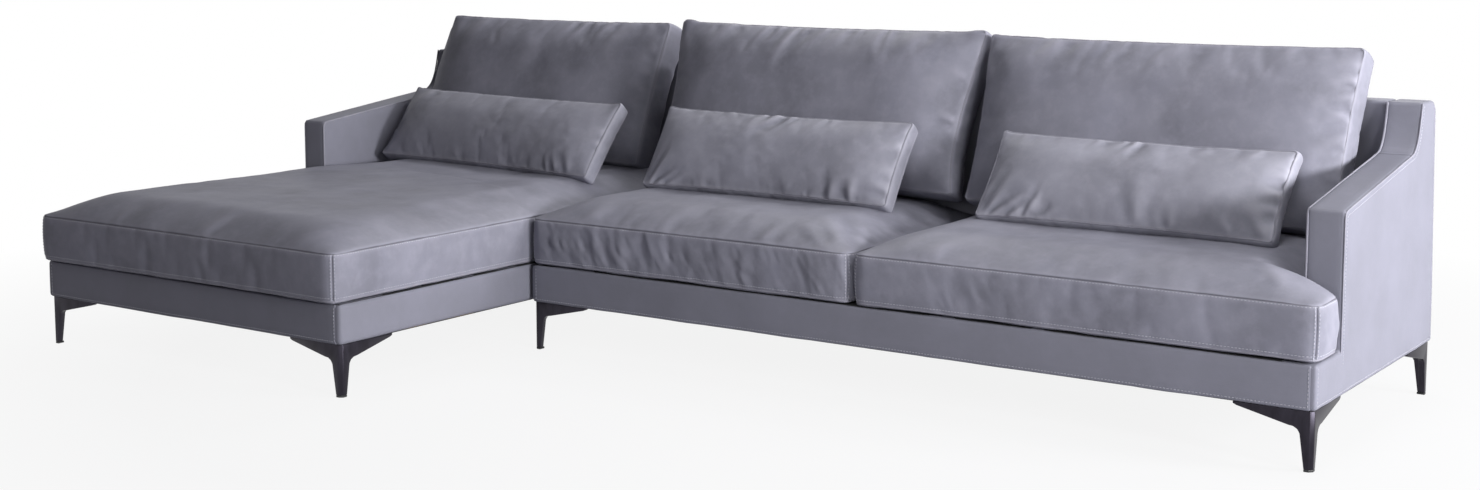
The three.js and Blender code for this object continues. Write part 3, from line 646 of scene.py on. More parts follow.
# Maps a rectangle's grid to one with round corners.
def roundCorners(x, y, halfX, halfY, radius):
    a = share((np.abs(x) - (halfX - radius)) / radius)
    b = share((np.abs(y) - (halfY - radius)) / radius)
    newX = np.sign(x) * (halfX - radius + radius * a * np.sqrt(1 - b * b / 2))
    newY = np.sign(y) * (halfY - radius + radius * b * np.sqrt(1 - a * a / 2))
    return np.where(a > 0, newX, x), np.where(b > 0, newY, y)


def stacked(x, y, z):
    return np.stack(np.broadcast_arrays(x, y, z), -1).reshape(-1, 3)


# how far from a seam, in metres, the mesh has extra lines
besideSeam = (0.0025, 0.005, 0.010, 0.018)
flatEdge = 0.03  # width in metres of the rounded edge of a seat's flat underside


# Front and rear panels and a boxing strip between them, as one closed mesh in the cushion's own
# frame: x along its width, y up or to the back, z out of its face. Each point also keeps its
# place on the flat cloth: x and y, and how far it is from the middle of the boxing.
def cushionMesh(name, spec):
    width, height, box = spec["width"], spec["height"], spec["box"]
    halfX, halfY = width / 2, height / 2
    xs, ys = (stations(size, spec["step"], besideSeam) for size in (width, height))
    gx, gy = np.meshgrid(xs, ys, indexing="ij")
    px, py = roundCorners(gx, gy, halfX, halfY, spec["radius"])
    pull = spec["drawIn"]
    py = py - np.sign(gy) * pull * (1 - (gx / halfX) ** 2) * (np.abs(gy) / halfY) ** 3
    px = px - np.sign(gx) * pull * (1 - (gy / halfY) ** 2) * (np.abs(gx) / halfX) ** 6
    reachX, reachY = halfX - np.abs(gx), halfY - np.abs(gy)
    reach = np.minimum(reachX, reachY)
    rollX, rollY = spec["roll"]
    power = spec.get("rollPower", 2.2)
    dome = (1 - (1 - share(reachX / rollX)) ** power) * (1 - (1 - share(reachY / rollY)) ** power)
    rearDome = dome if spec.get("rearSoft", True) else share(reach / flatEdge) ** 0.5
    points = [stacked(px, py, box / 2 + spec["crown"] * dome)]
    cloth = [stacked(gx, gy, box / 2 + reach)]
    grid = np.arange(gx.size).reshape(gx.shape)
    faces = [np.stack([grid[:-1, :-1], grid[1:, :-1], grid[1:, 1:], grid[:-1, 1:]], -1)]
    # the boundary, anticlockwise from the lower left corner
    loop = np.concatenate([grid[:, 0], grid[-1, 1:], grid[-2::-1, -1], grid[0, -2:0:-1]])
    loopX, loopY, clothX, clothY = (v.reshape(-1)[loop] for v in (px, py, gx, gy))
    aheadX, aheadY = (np.roll(v, -1) - np.roll(v, 1) for v in (loopX, loopY))
    outward = unitRows(np.stack([aheadY, -aheadX], 1))
    base, above = gx.size, loop
    levels = stations(box, spec["step"], spec.get("besideSeam", besideSeam))
    for level in levels[1:-1][::-1]:
        swell = spec["sideSwell"] * (1 - (2 * level / box) ** 2)
        points.append(stacked(loopX + outward[:, 0] * swell, loopY + outward[:, 1] * swell, level))
        cloth.append(stacked(clothX, clothY, level))
        below = base + np.arange(len(loop))
        faces.append(np.stack([above, below, np.roll(below, -1), np.roll(above, -1)], 1))
        base, above = base + len(loop), below
    rear = base + grid
    points.append(stacked(px, py, -box / 2 - spec["rearCrown"] * rearDome))
    cloth.append(stacked(gx, gy, -box / 2 - reach))
    below = rear.reshape(-1)[loop]
    faces.append(np.stack([above, below, np.roll(below, -1), np.roll(above, -1)], 1))
    faces.append(np.stack([rear[:-1, :-1], rear[:-1, 1:], rear[1:, 1:], rear[1:, :-1]], -1))
    points, cloth = np.vstack(points), np.vstack(cloth)
    if "shape" in spec:
        points = spec["shape"](points, cloth)
    obj = meshObject(name, points, np.vstack([f.reshape(-1, 4) for f in faces]),
                     spec.get("material", leather))
    markPoints(obj, "cloth", cloth)
    return obj


clothSettings = {"quality": 4, "mass": 0.4, "tension_stiffness": 12, "compression_stiffness": 12,
                 "shear_stiffness": 6, "bending_stiffness": 2, "tension_damping": 8,
                 "compression_damping": 8, "air_damping": 2, "use_pressure": True,
                 "vertex_group_mass": "held", "pin_stiffness": 2}
lastFrame, seamHold = 20, 0.9


# Pads fill out: pressure inside, cloth cut a little larger than its pattern, seams held.
def simulate(pieces):
    starts = {}
    for obj, spec in pieces:
        level, half = clothOf(obj)[:, 2], spec["box"] / 2
        held = obj.vertex_groups.new(name="held")
        seam = np.minimum(np.abs(level - half), np.abs(level + half))
        weight = np.where(seam < 1e-5, seamHold, 0.0)
        if not spec.get("rearSoft", True):
            weight = np.where(level < -half + 1e-5, 1.0, weight)
        for hold in np.unique(weight[weight > 0]):
            held.add([int(i) for i in np.where(weight == hold)[0]], float(hold), "REPLACE")
        starts[obj.name] = pointsOf(obj)
        modifier = obj.modifiers.new("padding", "CLOTH")
        for key, value in clothSettings.items():
            setattr(modifier.settings, key, value)
        modifier.settings.uniform_pressure_force = spec["pressure"]
        modifier.settings.shrink_min = -spec["spare"]
        modifier.settings.effector_weights.gravity = 0
        modifier.collision_settings.use_collision = False
        modifier.collision_settings.use_self_collision = False
        modifier.point_cache.frame_start = 1
        modifier.point_cache.frame_end = lastFrame
    for frameNumber in range(1, lastFrame + 1):
        scene.frame_set(frameNumber)
    graph = bpy.context.evaluated_depsgraph_get()
    for obj, spec in pieces:
        move = vectorsOf(obj.evaluated_get(graph).data.vertices, "co") - starts[obj.name]
        far = np.linalg.norm(move, axis=1)
        cap = spec["cap"]
        move *= (cap * np.tanh(far / cap) / np.maximum(far, 1e-9))[:, None]
        obj.modifiers.clear()
        movePoints(obj, starts[obj.name] + move)
        print("padded", obj.name, "moved up to", round(1000 * far.max(), 1), "mm")
    scene.frame_set(1)


# One smooth subdivision, made part of the mesh.
def subdivided(obj):
    modifier = obj.modifiers.new("finer", "SUBSURF")
    modifier.levels = modifier.render_levels = 1
    graph = bpy.context.evaluated_depsgraph_get()
    mesh = bpy.data.meshes.new_from_object(obj.evaluated_get(graph), preserve_all_data_layers=True,
                                           depsgraph=graph)
    obj.modifiers.clear()
    obj.data = mesh
    obj.vertex_groups.clear()


# Sum of single folds. Each starts at a seam and dies away. In millimetres: x and y of its start
# and end, half width, depth, bend. One flank rises and the other sinks, as in pulled leather.
def foldField(x, y, folds):
    total = np.zeros(len(x))
    for fold in folds:
        ax, ay, bx, by, width, depth, bend = np.array(fold) / 1000
        dx, dy = bx - ax, by - ay
        length = math.hypot(dx, dy)
        t = ((x - ax) * dx + (y - ay) * dy) / length ** 2
        d = ((x - ax) * dy - (y - ay) * dx) / length + bend * t * t
        spread = width * (1 + 0.8 * share(t))
        along = share(t / 0.2) * share(1 - t) ** 0.8
        total += depth * along * (d / spread) * np.exp(0.5 - d * d / (2 * spread ** 2))
    return total


rng = np.random.default_rng(41)
gather = {"start": 4, "bend": 10}  # how far in from the seam a pull begins, and its most bend


# Small pulls that hang from a seam between two places on one side of a panel, as folds in
# millimetres. Slant is the shift along the seam for each unit of length.
def seamGathers(spec, side, low, high, count, reach, width, depth, slant):
    halfX, halfY = spec.get("seams", (spec["width"] * 500, spec["height"] * 500))
    sign = 1 if side in ("top", "right") else -1
    level = side in ("top", "bottom")
    half = halfY if level else halfX
    folds = []
    for _ in range(count):
        at = rng.uniform(low, high)
        length = rng.uniform(*reach)
        lean = rng.uniform(*slant) * length
        size, deep = rng.uniform(*width), rng.uniform(*depth)
        bend = rng.uniform(-gather["bend"], gather["bend"])
        if rng.random() < 0.5:
            deep = -deep
        start, end = sign * (half - gather["start"]), sign * (half - length)
        ends = (at, start, at + lean, end) if level else (start, at, end, at + lean)
        folds.append((*ends, size, deep, bend))
    return folds


# Waves of the boxing strip: features of three sizes in metres, slanted and stretched across it.
waves = {"broad": (0.034, 0.30, 0.30), "fine": (0.014, 0.45, 0.42), "patch": 0.11}


def boxWaves(spec, cloth, seed):
    x, y, q = cloth.T
    onLong = np.abs(y) >= spec["height"] / 2 - 1e-4
    run, side = np.where(onLong, x, y), np.sign(y) * onLong
    broad, fine = (softNoise(stacked(run + slant * q, side, q * stretch), size, seed + k)
                   for k, (size, slant, stretch) in ((31, waves["broad"]), (32, waves["fine"])))
    patches = 0.55 + 0.9 * softNoise(stacked(run, side, q), waves["patch"], seed + 33)
    belly = share(1 - (2 * q / spec["box"]) ** 2) ** 0.6
    return belly * spec["boxWaves"] * np.clip(patches, 0.1, 1) \
        * (0.55 * broad + 0.45 * fine * np.abs(fine) ** 0.3)


# Loose leather lies in small shallow dents.
def crumples(spec, points, seed, dent=0.032, patch=0.13, squash=(1, 1.6, 1)):
    dents = softNoise(points * squash, dent, seed + 41)
    sharp = np.sign(dents) * np.abs(dents) ** 0.5
    patches = np.clip(0.5 + softNoise(points, patch, seed + 42), 0, 1.2)
    return spec["crumple"] * (0.5 * dents + 0.5 * sharp) * patches


# height and size of the filling's bumps, and how softly a panel ends at its seam
filling = {"broad": (0.0026, 0.19), "fine": (0.0013, 0.075), "panelEdge": 0.004}
# What shows at a seam, with its width last: groove and slit as shares of the seam's depth, and
# painted shade with some dirt. Down a corner it is a valley, with a shoulder some way aside on
# either side, and painted shade with some dirt.
seamMarks = {"groove": (0.4, 0.007), "slit": (0.8, 0.0021), "shadeAndDirt": (0.85, 0.0023),
             "corner": (0.0016, 0.0022), "shoulder": (0.0009, 0.005, 0.003),
             "cornerShadeAndDirt": (0.5, 0.0016)}
# where the leather is rubbed paler: all over, on ridges of folds, in patches and along seams
rub = {"all": 0.12, "ridge": 0.35, "seam": 0.45, "foldDepth": 0.004, "patches": (0.35, 0.1),
       "width": 0.008}


# Seam grooves, folds and the slight unevenness of stuffed leather, moved along the normals.
def sculpt(obj, spec, seed):
    cloth, points = clothOf(obj), pointsOf(obj)
    box, halfX, halfY = spec["box"], spec["width"] / 2, spec["height"] / 2
    x, y, q = cloth.T
    edge = filling["panelEdge"]
    onFront, onRear = (share((sign * q - box / 2 + edge) / (2 * edge)) for sign in (1, -1))
    panels = onFront + onRear
    folds = onFront * foldField(x, y, spec["folds"])
    lift = folds + (1 - onFront - onRear) * boxWaves(spec, cloth, seed)
    for k, key in enumerate(("broad", "fine")):
        height, size = filling[key]
        lift += panels * height * softNoise(points, size, seed + k)
    if "crumple" in spec:
        lift += onFront * crumples(spec, points, seed)
    # the leather is painted darker along the seams and down the corners: painted shade, with some
    # dirt
    seamShadeAndDirt = np.zeros(len(x))
    shadeAndDirt, width = seamMarks["shadeAndDirt"]
    for away in (q - box / 2, q + box / 2):
        for part, reach in (seamMarks["groove"], seamMarks["slit"]):
            lift -= spec["seamDepth"] * part * bell(away, reach)
        seamShadeAndDirt = np.maximum(seamShadeAndDirt, shadeAndDirt * bell(away, width))
    depth, valley = seamMarks["corner"]
    rise, aside, shoulder = seamMarks["shoulder"]
    shadeAndDirt, width = seamMarks["cornerShadeAndDirt"]
    for cornerX, cornerY in spec.get("cornerSeams", ()):
        away = np.hypot(x - cornerX * halfX, y - cornerY * halfY) + 10 * panels
        lift -= depth * bell(away, valley) - rise * bell(away - aside, shoulder)
        seamShadeAndDirt = np.maximum(seamShadeAndDirt, shadeAndDirt * bell(away, width))
    movePoints(obj, points + normalsOf(obj) * lift[:, None])
    nearSeam = bell(np.minimum(np.abs(q - box / 2), np.abs(q + box / 2)), rub["width"])
    strength, size = rub["patches"]
    ridge = folds / rub["foldDepth"] + strength * softNoise(points, size, seed + 9)
    markPoints(obj, "rubbed", share(rub["all"] + rub["ridge"] * ridge + rub["seam"] * nearSeam))
    markPoints(obj, "seamShadeAndDirt", seamShadeAndDirt)


# Points and normals of the chosen vertices, sorted by a key.
def inOrder(obj, chosen, key):
    order = chosen[np.argsort(key)]
    return pointsOf(obj)[order], normalsOf(obj)[order]


# The mesh's ring at one level across the boxing, in order.
def loopAt(obj, spec, level):
    cloth = clothOf(obj)
    halfX, halfY = spec["width"] / 2, spec["height"] / 2
    chosen = np.where(np.abs(cloth[:, 2] - level) < 2e-5)[0]
    x, y = cloth[chosen, 0], cloth[chosen, 1]
    # how far round the ring each point lies, from the lower left corner
    run = np.select([y <= -halfY + 1e-4, x >= halfX - 1e-4, y >= halfY - 1e-4],
                    [x + halfX, 2 * halfX + y + halfY, 3 * halfX + 2 * halfY - x],
                    4 * halfX + 3 * halfY - y)
    return inOrder(obj, chosen, run)


# The mesh's line of points down the boxing, beside a corner.
def columnAt(obj, spec, x, y):
    cloth = clothOf(obj)
    aside = np.hypot(cloth[:, 0] - x, cloth[:, 1] - y)
    onBoxing = np.abs(cloth[:, 2]) < spec["box"] / 2 - 0.004
    chosen = np.where((aside < 1e-4) & onBoxing)[0]
    return inOrder(obj, chosen, cloth[chosen, 2])


# Where the CAD cushion's own frame lies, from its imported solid.
def leaningPlace(node, spec):
    spin = Matrix.Rotation(math.radians(spec["turn"]), 4, "Z") \
        @ Matrix.Rotation(math.radians(90 - spec["lean"]), 4, "X")
    back = np.array(spin.inverted().to_3x3())
    own = np.array([v.co for v in nodes[node].data.vertices]) @ back.T
    low, high = own.min(0), own.max(0)
    centre = Vector(((low[0] + high[0]) / 2 + spec.get("aside", 0),
                     (low[1] + high[1]) / 2 + spec.get("rise", 0),
                     high[2] - spec["box"] / 2 - spec["crown"]))
    return Matrix.Translation(spin @ centre) @ spin


# Cuts a seat back beside the arm: from stepY on, one side moves in by shift.
def besideArm(side, stepY, shift=0.104, rise=0.030, reach=0.32):
    def shape(points, cloth):
        t = share((points[:, 1] - (stepY - rise)) / rise)
        edge = np.abs(points[:, 0]).max() - reach
        points[:, 0] -= side * shift * ease(t) * ease(share((side * points[:, 0] - edge) / reach))
        return points
    return shape


# The chaise's back cushion has slumped outwards a little under its own weight.
slump = {"out": 0.026, "half": 0.477, "top": 0.25, "reach": 0.20}


def flareLeft(points, cloth):
    left = share(-cloth[:, 0] / slump["half"]) ** 2
    points[:, 0] -= slump["out"] * left * share((slump["top"] - cloth[:, 1]) / slump["reach"])
    return points


# Sides that draw in below the middle, and how far in they still are at the lower corners.
def waisted(left, leftLow, right, rightLow, height=0.505):
    def shape(points, cloth):
        x, down = cloth[:, 0], share(0.5 - cloth[:, 1] / height)
        side = (np.abs(x) / np.abs(x).max()) ** 5
        bow = 6.75 * down * down * (1 - down)  # one at two thirds of the way down
        points[:, 0] += side * np.where(x < 0, left * bow + leftLow * down * down,
                                        -right * bow - rightLow * down * down)
        return points
    return shape


# Pulls the surface near a place. In millimetres: the place, the move and how far it reaches.
def nudge(points, moves):
    for move in moves:
        place, by, reach = np.split(np.array(move) / 1000, (3, 6))
        far = ((points - place) ** 2).sum(1)
        points += np.exp(-far / reach ** 2)[:, None] * by
    return points


# Folds, gathers and nudges are in millimetres, as in foldField, seamGathers and nudge.
def seatSpec(low, high, stepY=None, side=0, **more):
    centre = (low[0] + high[0]) / 2, (low[1] + high[1]) / 2
    spec = {"width": high[0] - low[0], "height": high[1] - low[1], "centre": centre, "box": 0.131,
            "overDeck": 0.009, "crown": 0.059, "rearCrown": 0.0085, "rearSoft": False,
            "radius": 0.040, "drawIn": 0.005, "sideSwell": 0.004, "step": 0.015,
            "roll": (0.20, 0.18), "pressure": 2.2, "spare": 0.003, "cap": 0.005,
            "seamDepth": 0.0034, "cornerSeams": ((-1, -1), (1, -1), (1, 1), (-1, 1))}
    if side:
        spec["shape"] = besideArm(side, stepY - centre[1])
    return {**spec, **more}


chaiseSeat = seatSpec((-0.004, -0.791), (1.247, 0.948), 0.271, -1, boxWaves=0.0018,
                      step=0.0165, folds=[
    # long soft ripples across the back half and the arc that a sitter leaves in the leather
    (100, 200, -250, 340, 30, 2.2, 30), (200, 280, -180, 450, 28, 2, 30),
    (300, 380, -100, 520, 26, 1.8, 20), (460, 620, 360, 200, 14, 2, 80),
    (360, 220, 50, 20, 34, 1.8, 40), (-300, -200, 20, -340, 45, 1.6, 20),
    (50, -300, 300, -460, 50, 2, 30), (-210, 172, 580, 218, 6.5, 3, -280),
], gathers=[
    ("bottom", -500, 500, 5, (50, 120), (14, 26), (0.6, 1.4), (-0.4, 0.4)),
    ("right", -700, 500, 6, (50, 130), (14, 28), (0.6, 1.4), (-0.4, 0.4)),
])

leftSeat = seatSpec((1.2545, -0.003), (2.3665, 0.793), boxWaves=0.0120, folds=[
    (500, -370, 340, -200, 16, 3, 20), (530, -300, 360, -100, 14, 2.6, -20),
    (450, -385, 300, -270, 13, 2.4, 10), (100, -380, 20, -220, 22, 1.8, 20),
    (-200, -50, 120, 60, 40, 1.8, 20),
], gathers=[
    ("bottom", -500, 500, 12, (50, 150), (10, 22), (1, 2.2), (-0.5, 0.5)),
    ("right", -350, 100, 8, (50, 120), (9, 16), (1, 2.2), (-0.4, 0.4)),
])

# its rear left corner passes the left back cushion when the seat is lifted
rightSeat = seatSpec((2.3735, -0.003), (3.6305, 0.793), 0.170, 1, boxWaves=0.0048, folds=[
    (-450, -370, -280, -200, 22, 2, 20), (300, -100, 50, 20, 40, 1.6, 30),
    (520, -360, 380, -220, 18, 2.4, -20), (100, -390, 180, -240, 20, 1.6, 20),
], gathers=[
    ("bottom", -580, 580, 8, (50, 130), (12, 24), (0.7, 1.6), (-0.5, 0.5)),
], nudges=[(-628, 398, 0, 13, 0, 0, 110)])


def backSpec(width, **more):
    spec = {"width": width, "height": 0.501, "rise": 0.0075, "box": 0.098, "crown": 0.051,
            "rearCrown": 0.012, "radius": 0.013, "drawIn": 0.006, "sideSwell": 0.004,
            "step": 0.012, "roll": (0.34, 0.19), "rollPower": 3.2, "pressure": 3.5,
            "spare": 0.006, "cap": 0.007, "lean": 22, "turn": 0, "boxWaves": 0.0016,
            "seamDepth": 0.0028, "welt": 0.0018}
    return {**spec, **more}


chaiseBack = backSpec(0.973, aside=-0.0165, rise=0.0125, shape=flareLeft, box=0.094, crown=0.063,
                      rearCrown=0.004, seams=(477, 250.5), folds=[
    (170, 250.5, 100, 130, 14, 5, 20), (220, 250.5, 140, 120, 13, 4.5, -10),
    (120, 250.5, 50, 150, 16, 3.8, 20), (280, 250.5, 230, 150, 12, 3, 10),
    (-280, 250.5, -340, 80, 24, 3.4, 20), (-120, 250.5, -190, 100, 22, 2.6, 20),
    (20, 130, -100, -20, 30, 3, 30), (-400, 250.5, -430, 50, 18, 2.6, 0),
    (380, 250.5, 300, 90, 20, 2.6, 10),
], gathers=[
    ("top", -420, 420, 9, (50, 150), (10, 22), (1, 2.4), (-0.6, 0.1)),
    ("right", -150, 200, 9, (30, 80), (7, 13), (1, 2.2), (-0.3, 0.6)),
], nudges=[(486.5, 200, -47, 9, 0, 0, 90)])

leftBack = backSpec(1.092, aside=-0.005, rise=0.0245, box=0.086, crown=0.063,
                    shape=waisted(0.008, 0.004, 0.022, 0.011), seams=(534, 250.5), folds=[
    (-90, 250.5, -135, 75, 11, 6.2, 10), (-60, 250.5, -95, 110, 10, 5, -10),
    (-190, 250.5, -235, 140, 13, 4.4, 10), (-150, 250.5, -180, 150, 10, 4, 0),
    (20, 250.5, -30, 150, 12, 3.6, 0), (90, 250.5, 80, 170, 11, 3, 0),
    (240, 250.5, 260, 140, 12, 4, 0), (210, 250.5, 215, 150, 10, 3, 0),
    (-330, 250.5, -380, 120, 18, 3, 0), (400, 250.5, 330, 110, 22, 2.6, 20),
    (-500, 200, -430, 20, 20, 3, 0), (534, 100, 400, 20, 22, 2.8, 20),
], gathers=[
    ("top", -450, 450, 13, (40, 140), (8, 18), (1, 2.6), (-0.5, 0.2)),
    ("right", -150, 220, 12, (30, 90), (7, 13), (1.2, 2.6), (-0.2, 0.7)),
], nudges=[(-541, 215, 0, -12, 0, 0, 90), (-525, 240, 40, -2, 6, 4, 30),
           (525, 240, 40, 2, 5, 0, 30)])

rightBack = backSpec(1.088, aside=0.0075, rise=0.0105, shape=waisted(0.008, 0.014, 0.004, 0),
                     seams=(551.5, 250.5), folds=[
    (-160, 250.5, -230, 160, 14, 3.6, 10), (-100, 250.5, -150, 150, 12, 3.4, 0),
    (-300, 250.5, -350, 110, 20, 2.8, 10), (60, 250.5, 20, 150, 14, 2.4, 0),
    (551.5, 150, 440, 120, 12, 4, 10), (551.5, 110, 430, 60, 12, 4.2, 10),
    (551.5, 70, 420, 0, 13, 3.6, 10), (551.5, 190, 460, 185, 10, 3, 0),
    (-540, 200, -470, 40, 18, 3, 0), (551.5, 0, 450, -80, 14, 2.8, 0),
], gathers=[
    ("top", -480, 480, 12, (40, 130), (8, 18), (0.8, 2.2), (-0.6, 0.1)),
    ("right", -200, 230, 18, (30, 90), (6, 12), (1.4, 3), (-0.6, 0.2)),
], nudges=[(-545, 240, 40, -1, 4, 0, 26)])


def pillowSpec(width, **more):
    spec = {"width": width, "height": 0.278, "box": 0.050, "crown": 0.041, "rearCrown": 0.011,
            "radius": 0.012, "drawIn": 0.006, "sideSwell": 0.003, "step": 0.010,
            "roll": (0.20, 0.135), "rollPower": 2.8, "pressure": 5, "spare": 0.003, "cap": 0.006,
            "turn": 0, "besideSeam": (0.0025, 0.005, 0.010), "seamDepth": 0.0022,
            "boxWaves": 0.0016, "crumple": 0.0011, "material": pillowLeather, "welt": 0.0023}
    return {**spec, **more}


# the nudges are small ears where the welts meet
chaisePillow = pillowSpec(1.002, lean=37, turn=-6, seams=(504, 139), folds=[
    (360, -139, 330, -75, 10, 4, 0), (320, -139, 300, -80, 8, 3.2, 0),
    (420, -139, 380, -60, 12, 3.6, 0), (-490, -120, -420, -20, 14, 3.4, 0),
    (504, -20, 450, -30, 8, 3.2, 0), (504, 20, 440, 0, 10, 2.6, 0),
    (-360, 139, -420, 40, 20, 2.6, 0), (20, 139, -30, 50, 22, 2, 0),
], gathers=[
    ("bottom", -460, 460, 6, (20, 100), (7, 20), (0.6, 2), (-0.9, 0.7)),
    ("top", -460, 460, 5, (30, 80), (9, 16), (0.8, 1.8), (-0.6, 0.2)),
    ("left", -100, 100, 6, (30, 80), (7, 12), (1.2, 2.6), (-0.3, 0.6)),
], nudges=[(501, 139, 25, 4, 4, 1, 20), (-501, 139, 25, -2, 4, 0, 18)])

pillowGathers = [
    ("bottom", -400, 400, 8, (20, 100), (6, 18), (0.8, 2.4), (-0.9, 0.9)),
    ("top", -400, 400, 7, (30, 80), (8, 15), (0.9, 2), (-0.8, 0.1)),
    ("right", -120, 120, 9, (30, 80), (6, 11), (1.4, 2.8), (-0.4, 0.4)),
]
leftPillow = pillowSpec(0.872, height=0.273, rise=-0.0025, aside=-0.005, lean=34,
                        seams=(440, 139), folds=[
    (10, 139, -95, 45, 12, 7.5, 0), (-50, 139, -100, 85, 9, 4.5, 0), (55, 139, 0, 85, 8, 3, 0),
    (-420, -130, -330, -20, 8, 4.2, 20), (-400, -139, -290, -75, 6, 4.2, -10),
    (-360, -139, -260, -100, 6, 3.6, 10), (-430, -100, -390, 20, 10, 3, 0),
    (240, -139, 250, -60, 10, 3.4, 0), (310, -139, 300, -70, 10, 3.4, 0),
    (440, -30, 370, -50, 10, 3.4, 0), (440, 40, 360, 10, 12, 3.2, 0),
    (440, -100, 360, -80, 10, 3.6, 0),
], gathers=pillowGathers, nudges=[(-436, 136.5, 25, -3, 5, 2, 18), (436, 136.5, 25, 4, 3, 0, 20)])

rightPillow = pillowSpec(0.840, aside=-0.008, lean=39, seams=(427.5, 139), folds=[
    (0, 139, -35, 60, 10, 6, 0), (-30, 139, -70, 75, 9, 3.6, 0), (-400, -130, -315, -5, 9, 4.2, 20),
    (-385, -139, -270, -60, 7, 4.4, -10), (-330, -139, -225, -85, 6, 4, 10),
    (-420, -90, -370, 40, 11, 3, 0), (-240, -139, -165, -100, 6, 2.8, 0),
    (-280, -139, -210, -60, 6, 3.6, 20), (40, -139, 20, 0, 14, 3, 0),
    (140, -139, 130, -70, 9, 3.6, 0), (427.5, -50, 330, -85, 12, 4.8, 0),
    (427.5, -10, 340, -30, 11, 4, 0), (427.5, 50, 350, 30, 12, 3.2, 0),
    (400, -139, 330, -60, 12, 4, 0),
], gathers=pillowGathers, nudges=[(-420, 139, 25, -2, 5, 2, 16), (420, 139, 0, 5, 4, 0, 22)])

# the name of each cushion's nodes, its body and its dictionary
kinds = {("seat_cushion", "seat"): (chaiseSeat, leftSeat, rightSeat),
         ("back_cushion", "back"): (chaiseBack, leftBack, rightBack),
         ("lumbar_pillow", "pillow"): (chaisePillow, leftPillow, rightPillow)}
cushions = [(f"{place}_{ending}", f"{place}_{body}", spec)
            for (ending, body), specs in kinds.items()
            for place, spec in zip(("chaise", "left", "right"), specs)]
made = []
for index, (name, body, spec) in enumerate(cushions):
    spec["folds"] += [fold for g in spec["gathers"] for fold in seamGathers(spec, *g)]
    obj = cushionMesh(f"{name}_leather", spec)
    points = nudge(pointsOf(obj), spec.get("nudges", ()))
    # a hair of unevenness, so that the leather doesn't fold the same everywhere
    points += normalsOf(obj) * (0.0008 * softNoise(points, 0.045, 60 + index))[:, None]
    movePoints(obj, points)
    made.append((obj, spec))
print("cushion shapes", len(made))
simulate(made)

seatTrim = {"weltOut": 0.0010, "welt": 0.0030, "corner": 0.005, "top": 0.005, "low": 0.010}


# Stitches down the corner seams and beside the upper and lower seams, and a welt below.
def trimSeat(name, obj, spec):
    halfX, halfY, half = spec["width"] / 2, spec["height"] / 2, spec["box"] / 2
    for k, (cornerX, cornerY) in enumerate(spec["cornerSeams"]):
        px, py = cornerX * halfX, cornerY * halfY
        besides = {"a": (px - cornerX * seatTrim["corner"], py),
                   "b": (px, py - cornerY * seatTrim["corner"])}
        for key, (x, y) in besides.items():
            yield stitchRow(f"{name}_corner_stitches_{k}{key}", *columnAt(obj, spec, x, y))
    low, normals = loopAt(obj, spec, -half)
    yield tube(f"{name}_lower_welt", low + normals * seatTrim["weltOut"], seatTrim["welt"],
               seamLeather, True)
    for key, level in (("top", half - seatTrim["top"]), ("lower", -half + seatTrim["low"])):
        yield stitchRow(f"{name}_{key}_stitches", *loopAt(obj, spec, level), closed=True)


# Welts round the front and the rear panel of a back cushion or pillow.
def trimPad(name, obj, spec, out=0.0006):
    for key, level in (("front", spec["box"] / 2), ("rear", -spec["box"] / 2)):
        line, normals = loopAt(obj, spec, level)
        yield tube(f"{name}_{key}_welt", line + normals * out, spec["welt"], seamLeather, True, 7)


for index, ((name, body, spec), (obj, _)) in enumerate(zip(cushions, made)):
    subdivided(obj)
    sculpt(obj, spec, 100 + 10 * index)
    seat = "centre" in spec
    if seat:
        x, y = spec["centre"]
        place = Matrix.Translation((x0 + x, y0 + y, baseTop + (spec["overDeck"] + spec["box"] / 2)))
    else:
        place = leaningPlace(f"{name}_cover", spec)
    trim = (trimSeat if seat else trimPad)(name, obj, spec)
    for piece in [obj, *trim]:
        piece.data.transform(place)
        piece.data.update()
        finishPiece(piece, body, "leather")
    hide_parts(f"{name}_cover", f"{name}_core")
    print("cushion", name)


# The CAD piece with its edges broken.
def roundedCopy(node, ending, size, material, slot):
    bm = bmesh.new()
    bm.from_mesh(nodes[node].data)
    bmesh.ops.remove_doubles(bm, verts=bm.verts[:], dist=1e-6)
    bmesh.ops.dissolve_limit(bm, angle_limit=math.radians(1), verts=bm.verts[:], edges=bm.edges[:])
    breakEdges(bm, 30, size, 2)
    obj = fromBmesh(bm, node + ending, material)
    obj.data.set_sharp_from_angle(angle=math.radians(35))
    finishPiece(obj, "sofa_frame", slot, node)


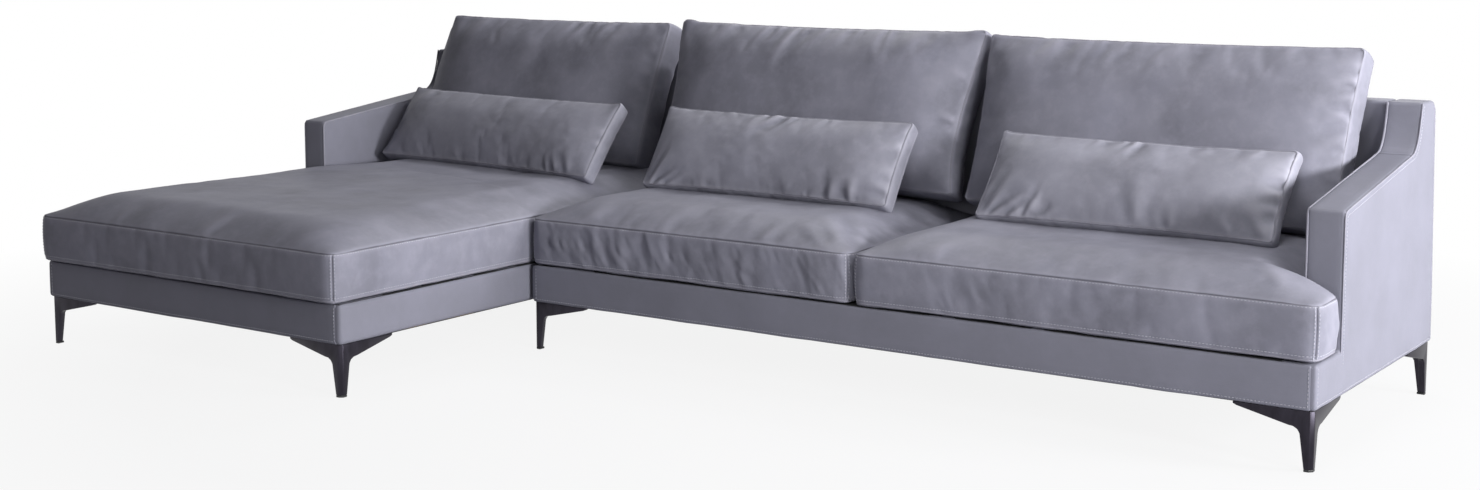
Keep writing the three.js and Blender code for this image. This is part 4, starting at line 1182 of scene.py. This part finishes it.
for name in modules:
    for corner in ("front_outer", "front_inner", "rear_outer", "rear_inner"):
        roundedCopy(f"{name}_leg_{corner}", "_metal", 0.0011, gunmetal, "gunmetal_lacquer")
        roundedCopy(f"{name}_glide_{corner}", "_pad", 0.0012, blackPlastic, "black_plastic")

# CAD pieces that keep their shape: what each is made of
plainPieces = {"arm_frame": pine, "back_frame": pine, "front_rail": pine, "inner_rail": pine,
               "middle_rail": pine, "seat_webbing": webbingCloth, "deck_cloth": dustCloth,
               "dust_cover": dustCloth}
plainNodes = {f"{name}_{ending}": material for name in modules
              for ending, material in plainPieces.items()}
plainNodes.update(connector_bracket_1=zinc, connector_bracket_2=zinc)
for node, material in plainNodes.items():
    nodes[node].data.materials.clear()
    nodes[node].data.materials.append(material)
print("legs, glides and inner pieces")


# Seen as white, with the sofa's shadow, which lies close round the feet and is gone further out.
def paleFloor(size, fadeFrom, fadeTo):
    mat = bpy.data.materials.new("paleSeamlessFloor")
    tree = emptyTree(mat)
    coords = addNode(tree, "TexCoord")
    reach = addNode(tree, "VectorMath", {0: coords.outputs["Object"]}, operation="LENGTH")
    fade = addNode(tree, "MapRange", {"Value": reach.outputs["Value"], "From Min": fadeFrom,
                                      "From Max": fadeTo, "To Min": 0.88, "To Max": 1})
    seen = rayShare(tree, "Is Camera Ray", "Is Glossy Ray")
    white = addNode(tree, "Math", {0: seen, 1: fade}, operation="MULTIPLY")
    matte = addNode(tree, "BsdfDiffuse", Color=linear("#b2b2b8"))
    glow = addNode(tree, "Emission", Color=(1, 1, 1, 1), Strength=1)
    mix = addNode(tree, "MixShader", {0: white, 1: matte, 2: glow})
    addNode(tree, "OutputMaterial", {0: mix})
    corners = [(-size, -size, 0), (size, -size, 0), (size, size, 0), (-size, size, 0)]
    meshObject("floor", corners, [(0, 1, 2, 3)], mat)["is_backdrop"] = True


paleFloor(30, 1.6, 3.4)

low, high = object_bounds()
{"cad": [list(cadLow), list(cadHigh)], "visual": [list(low), list(high)]}
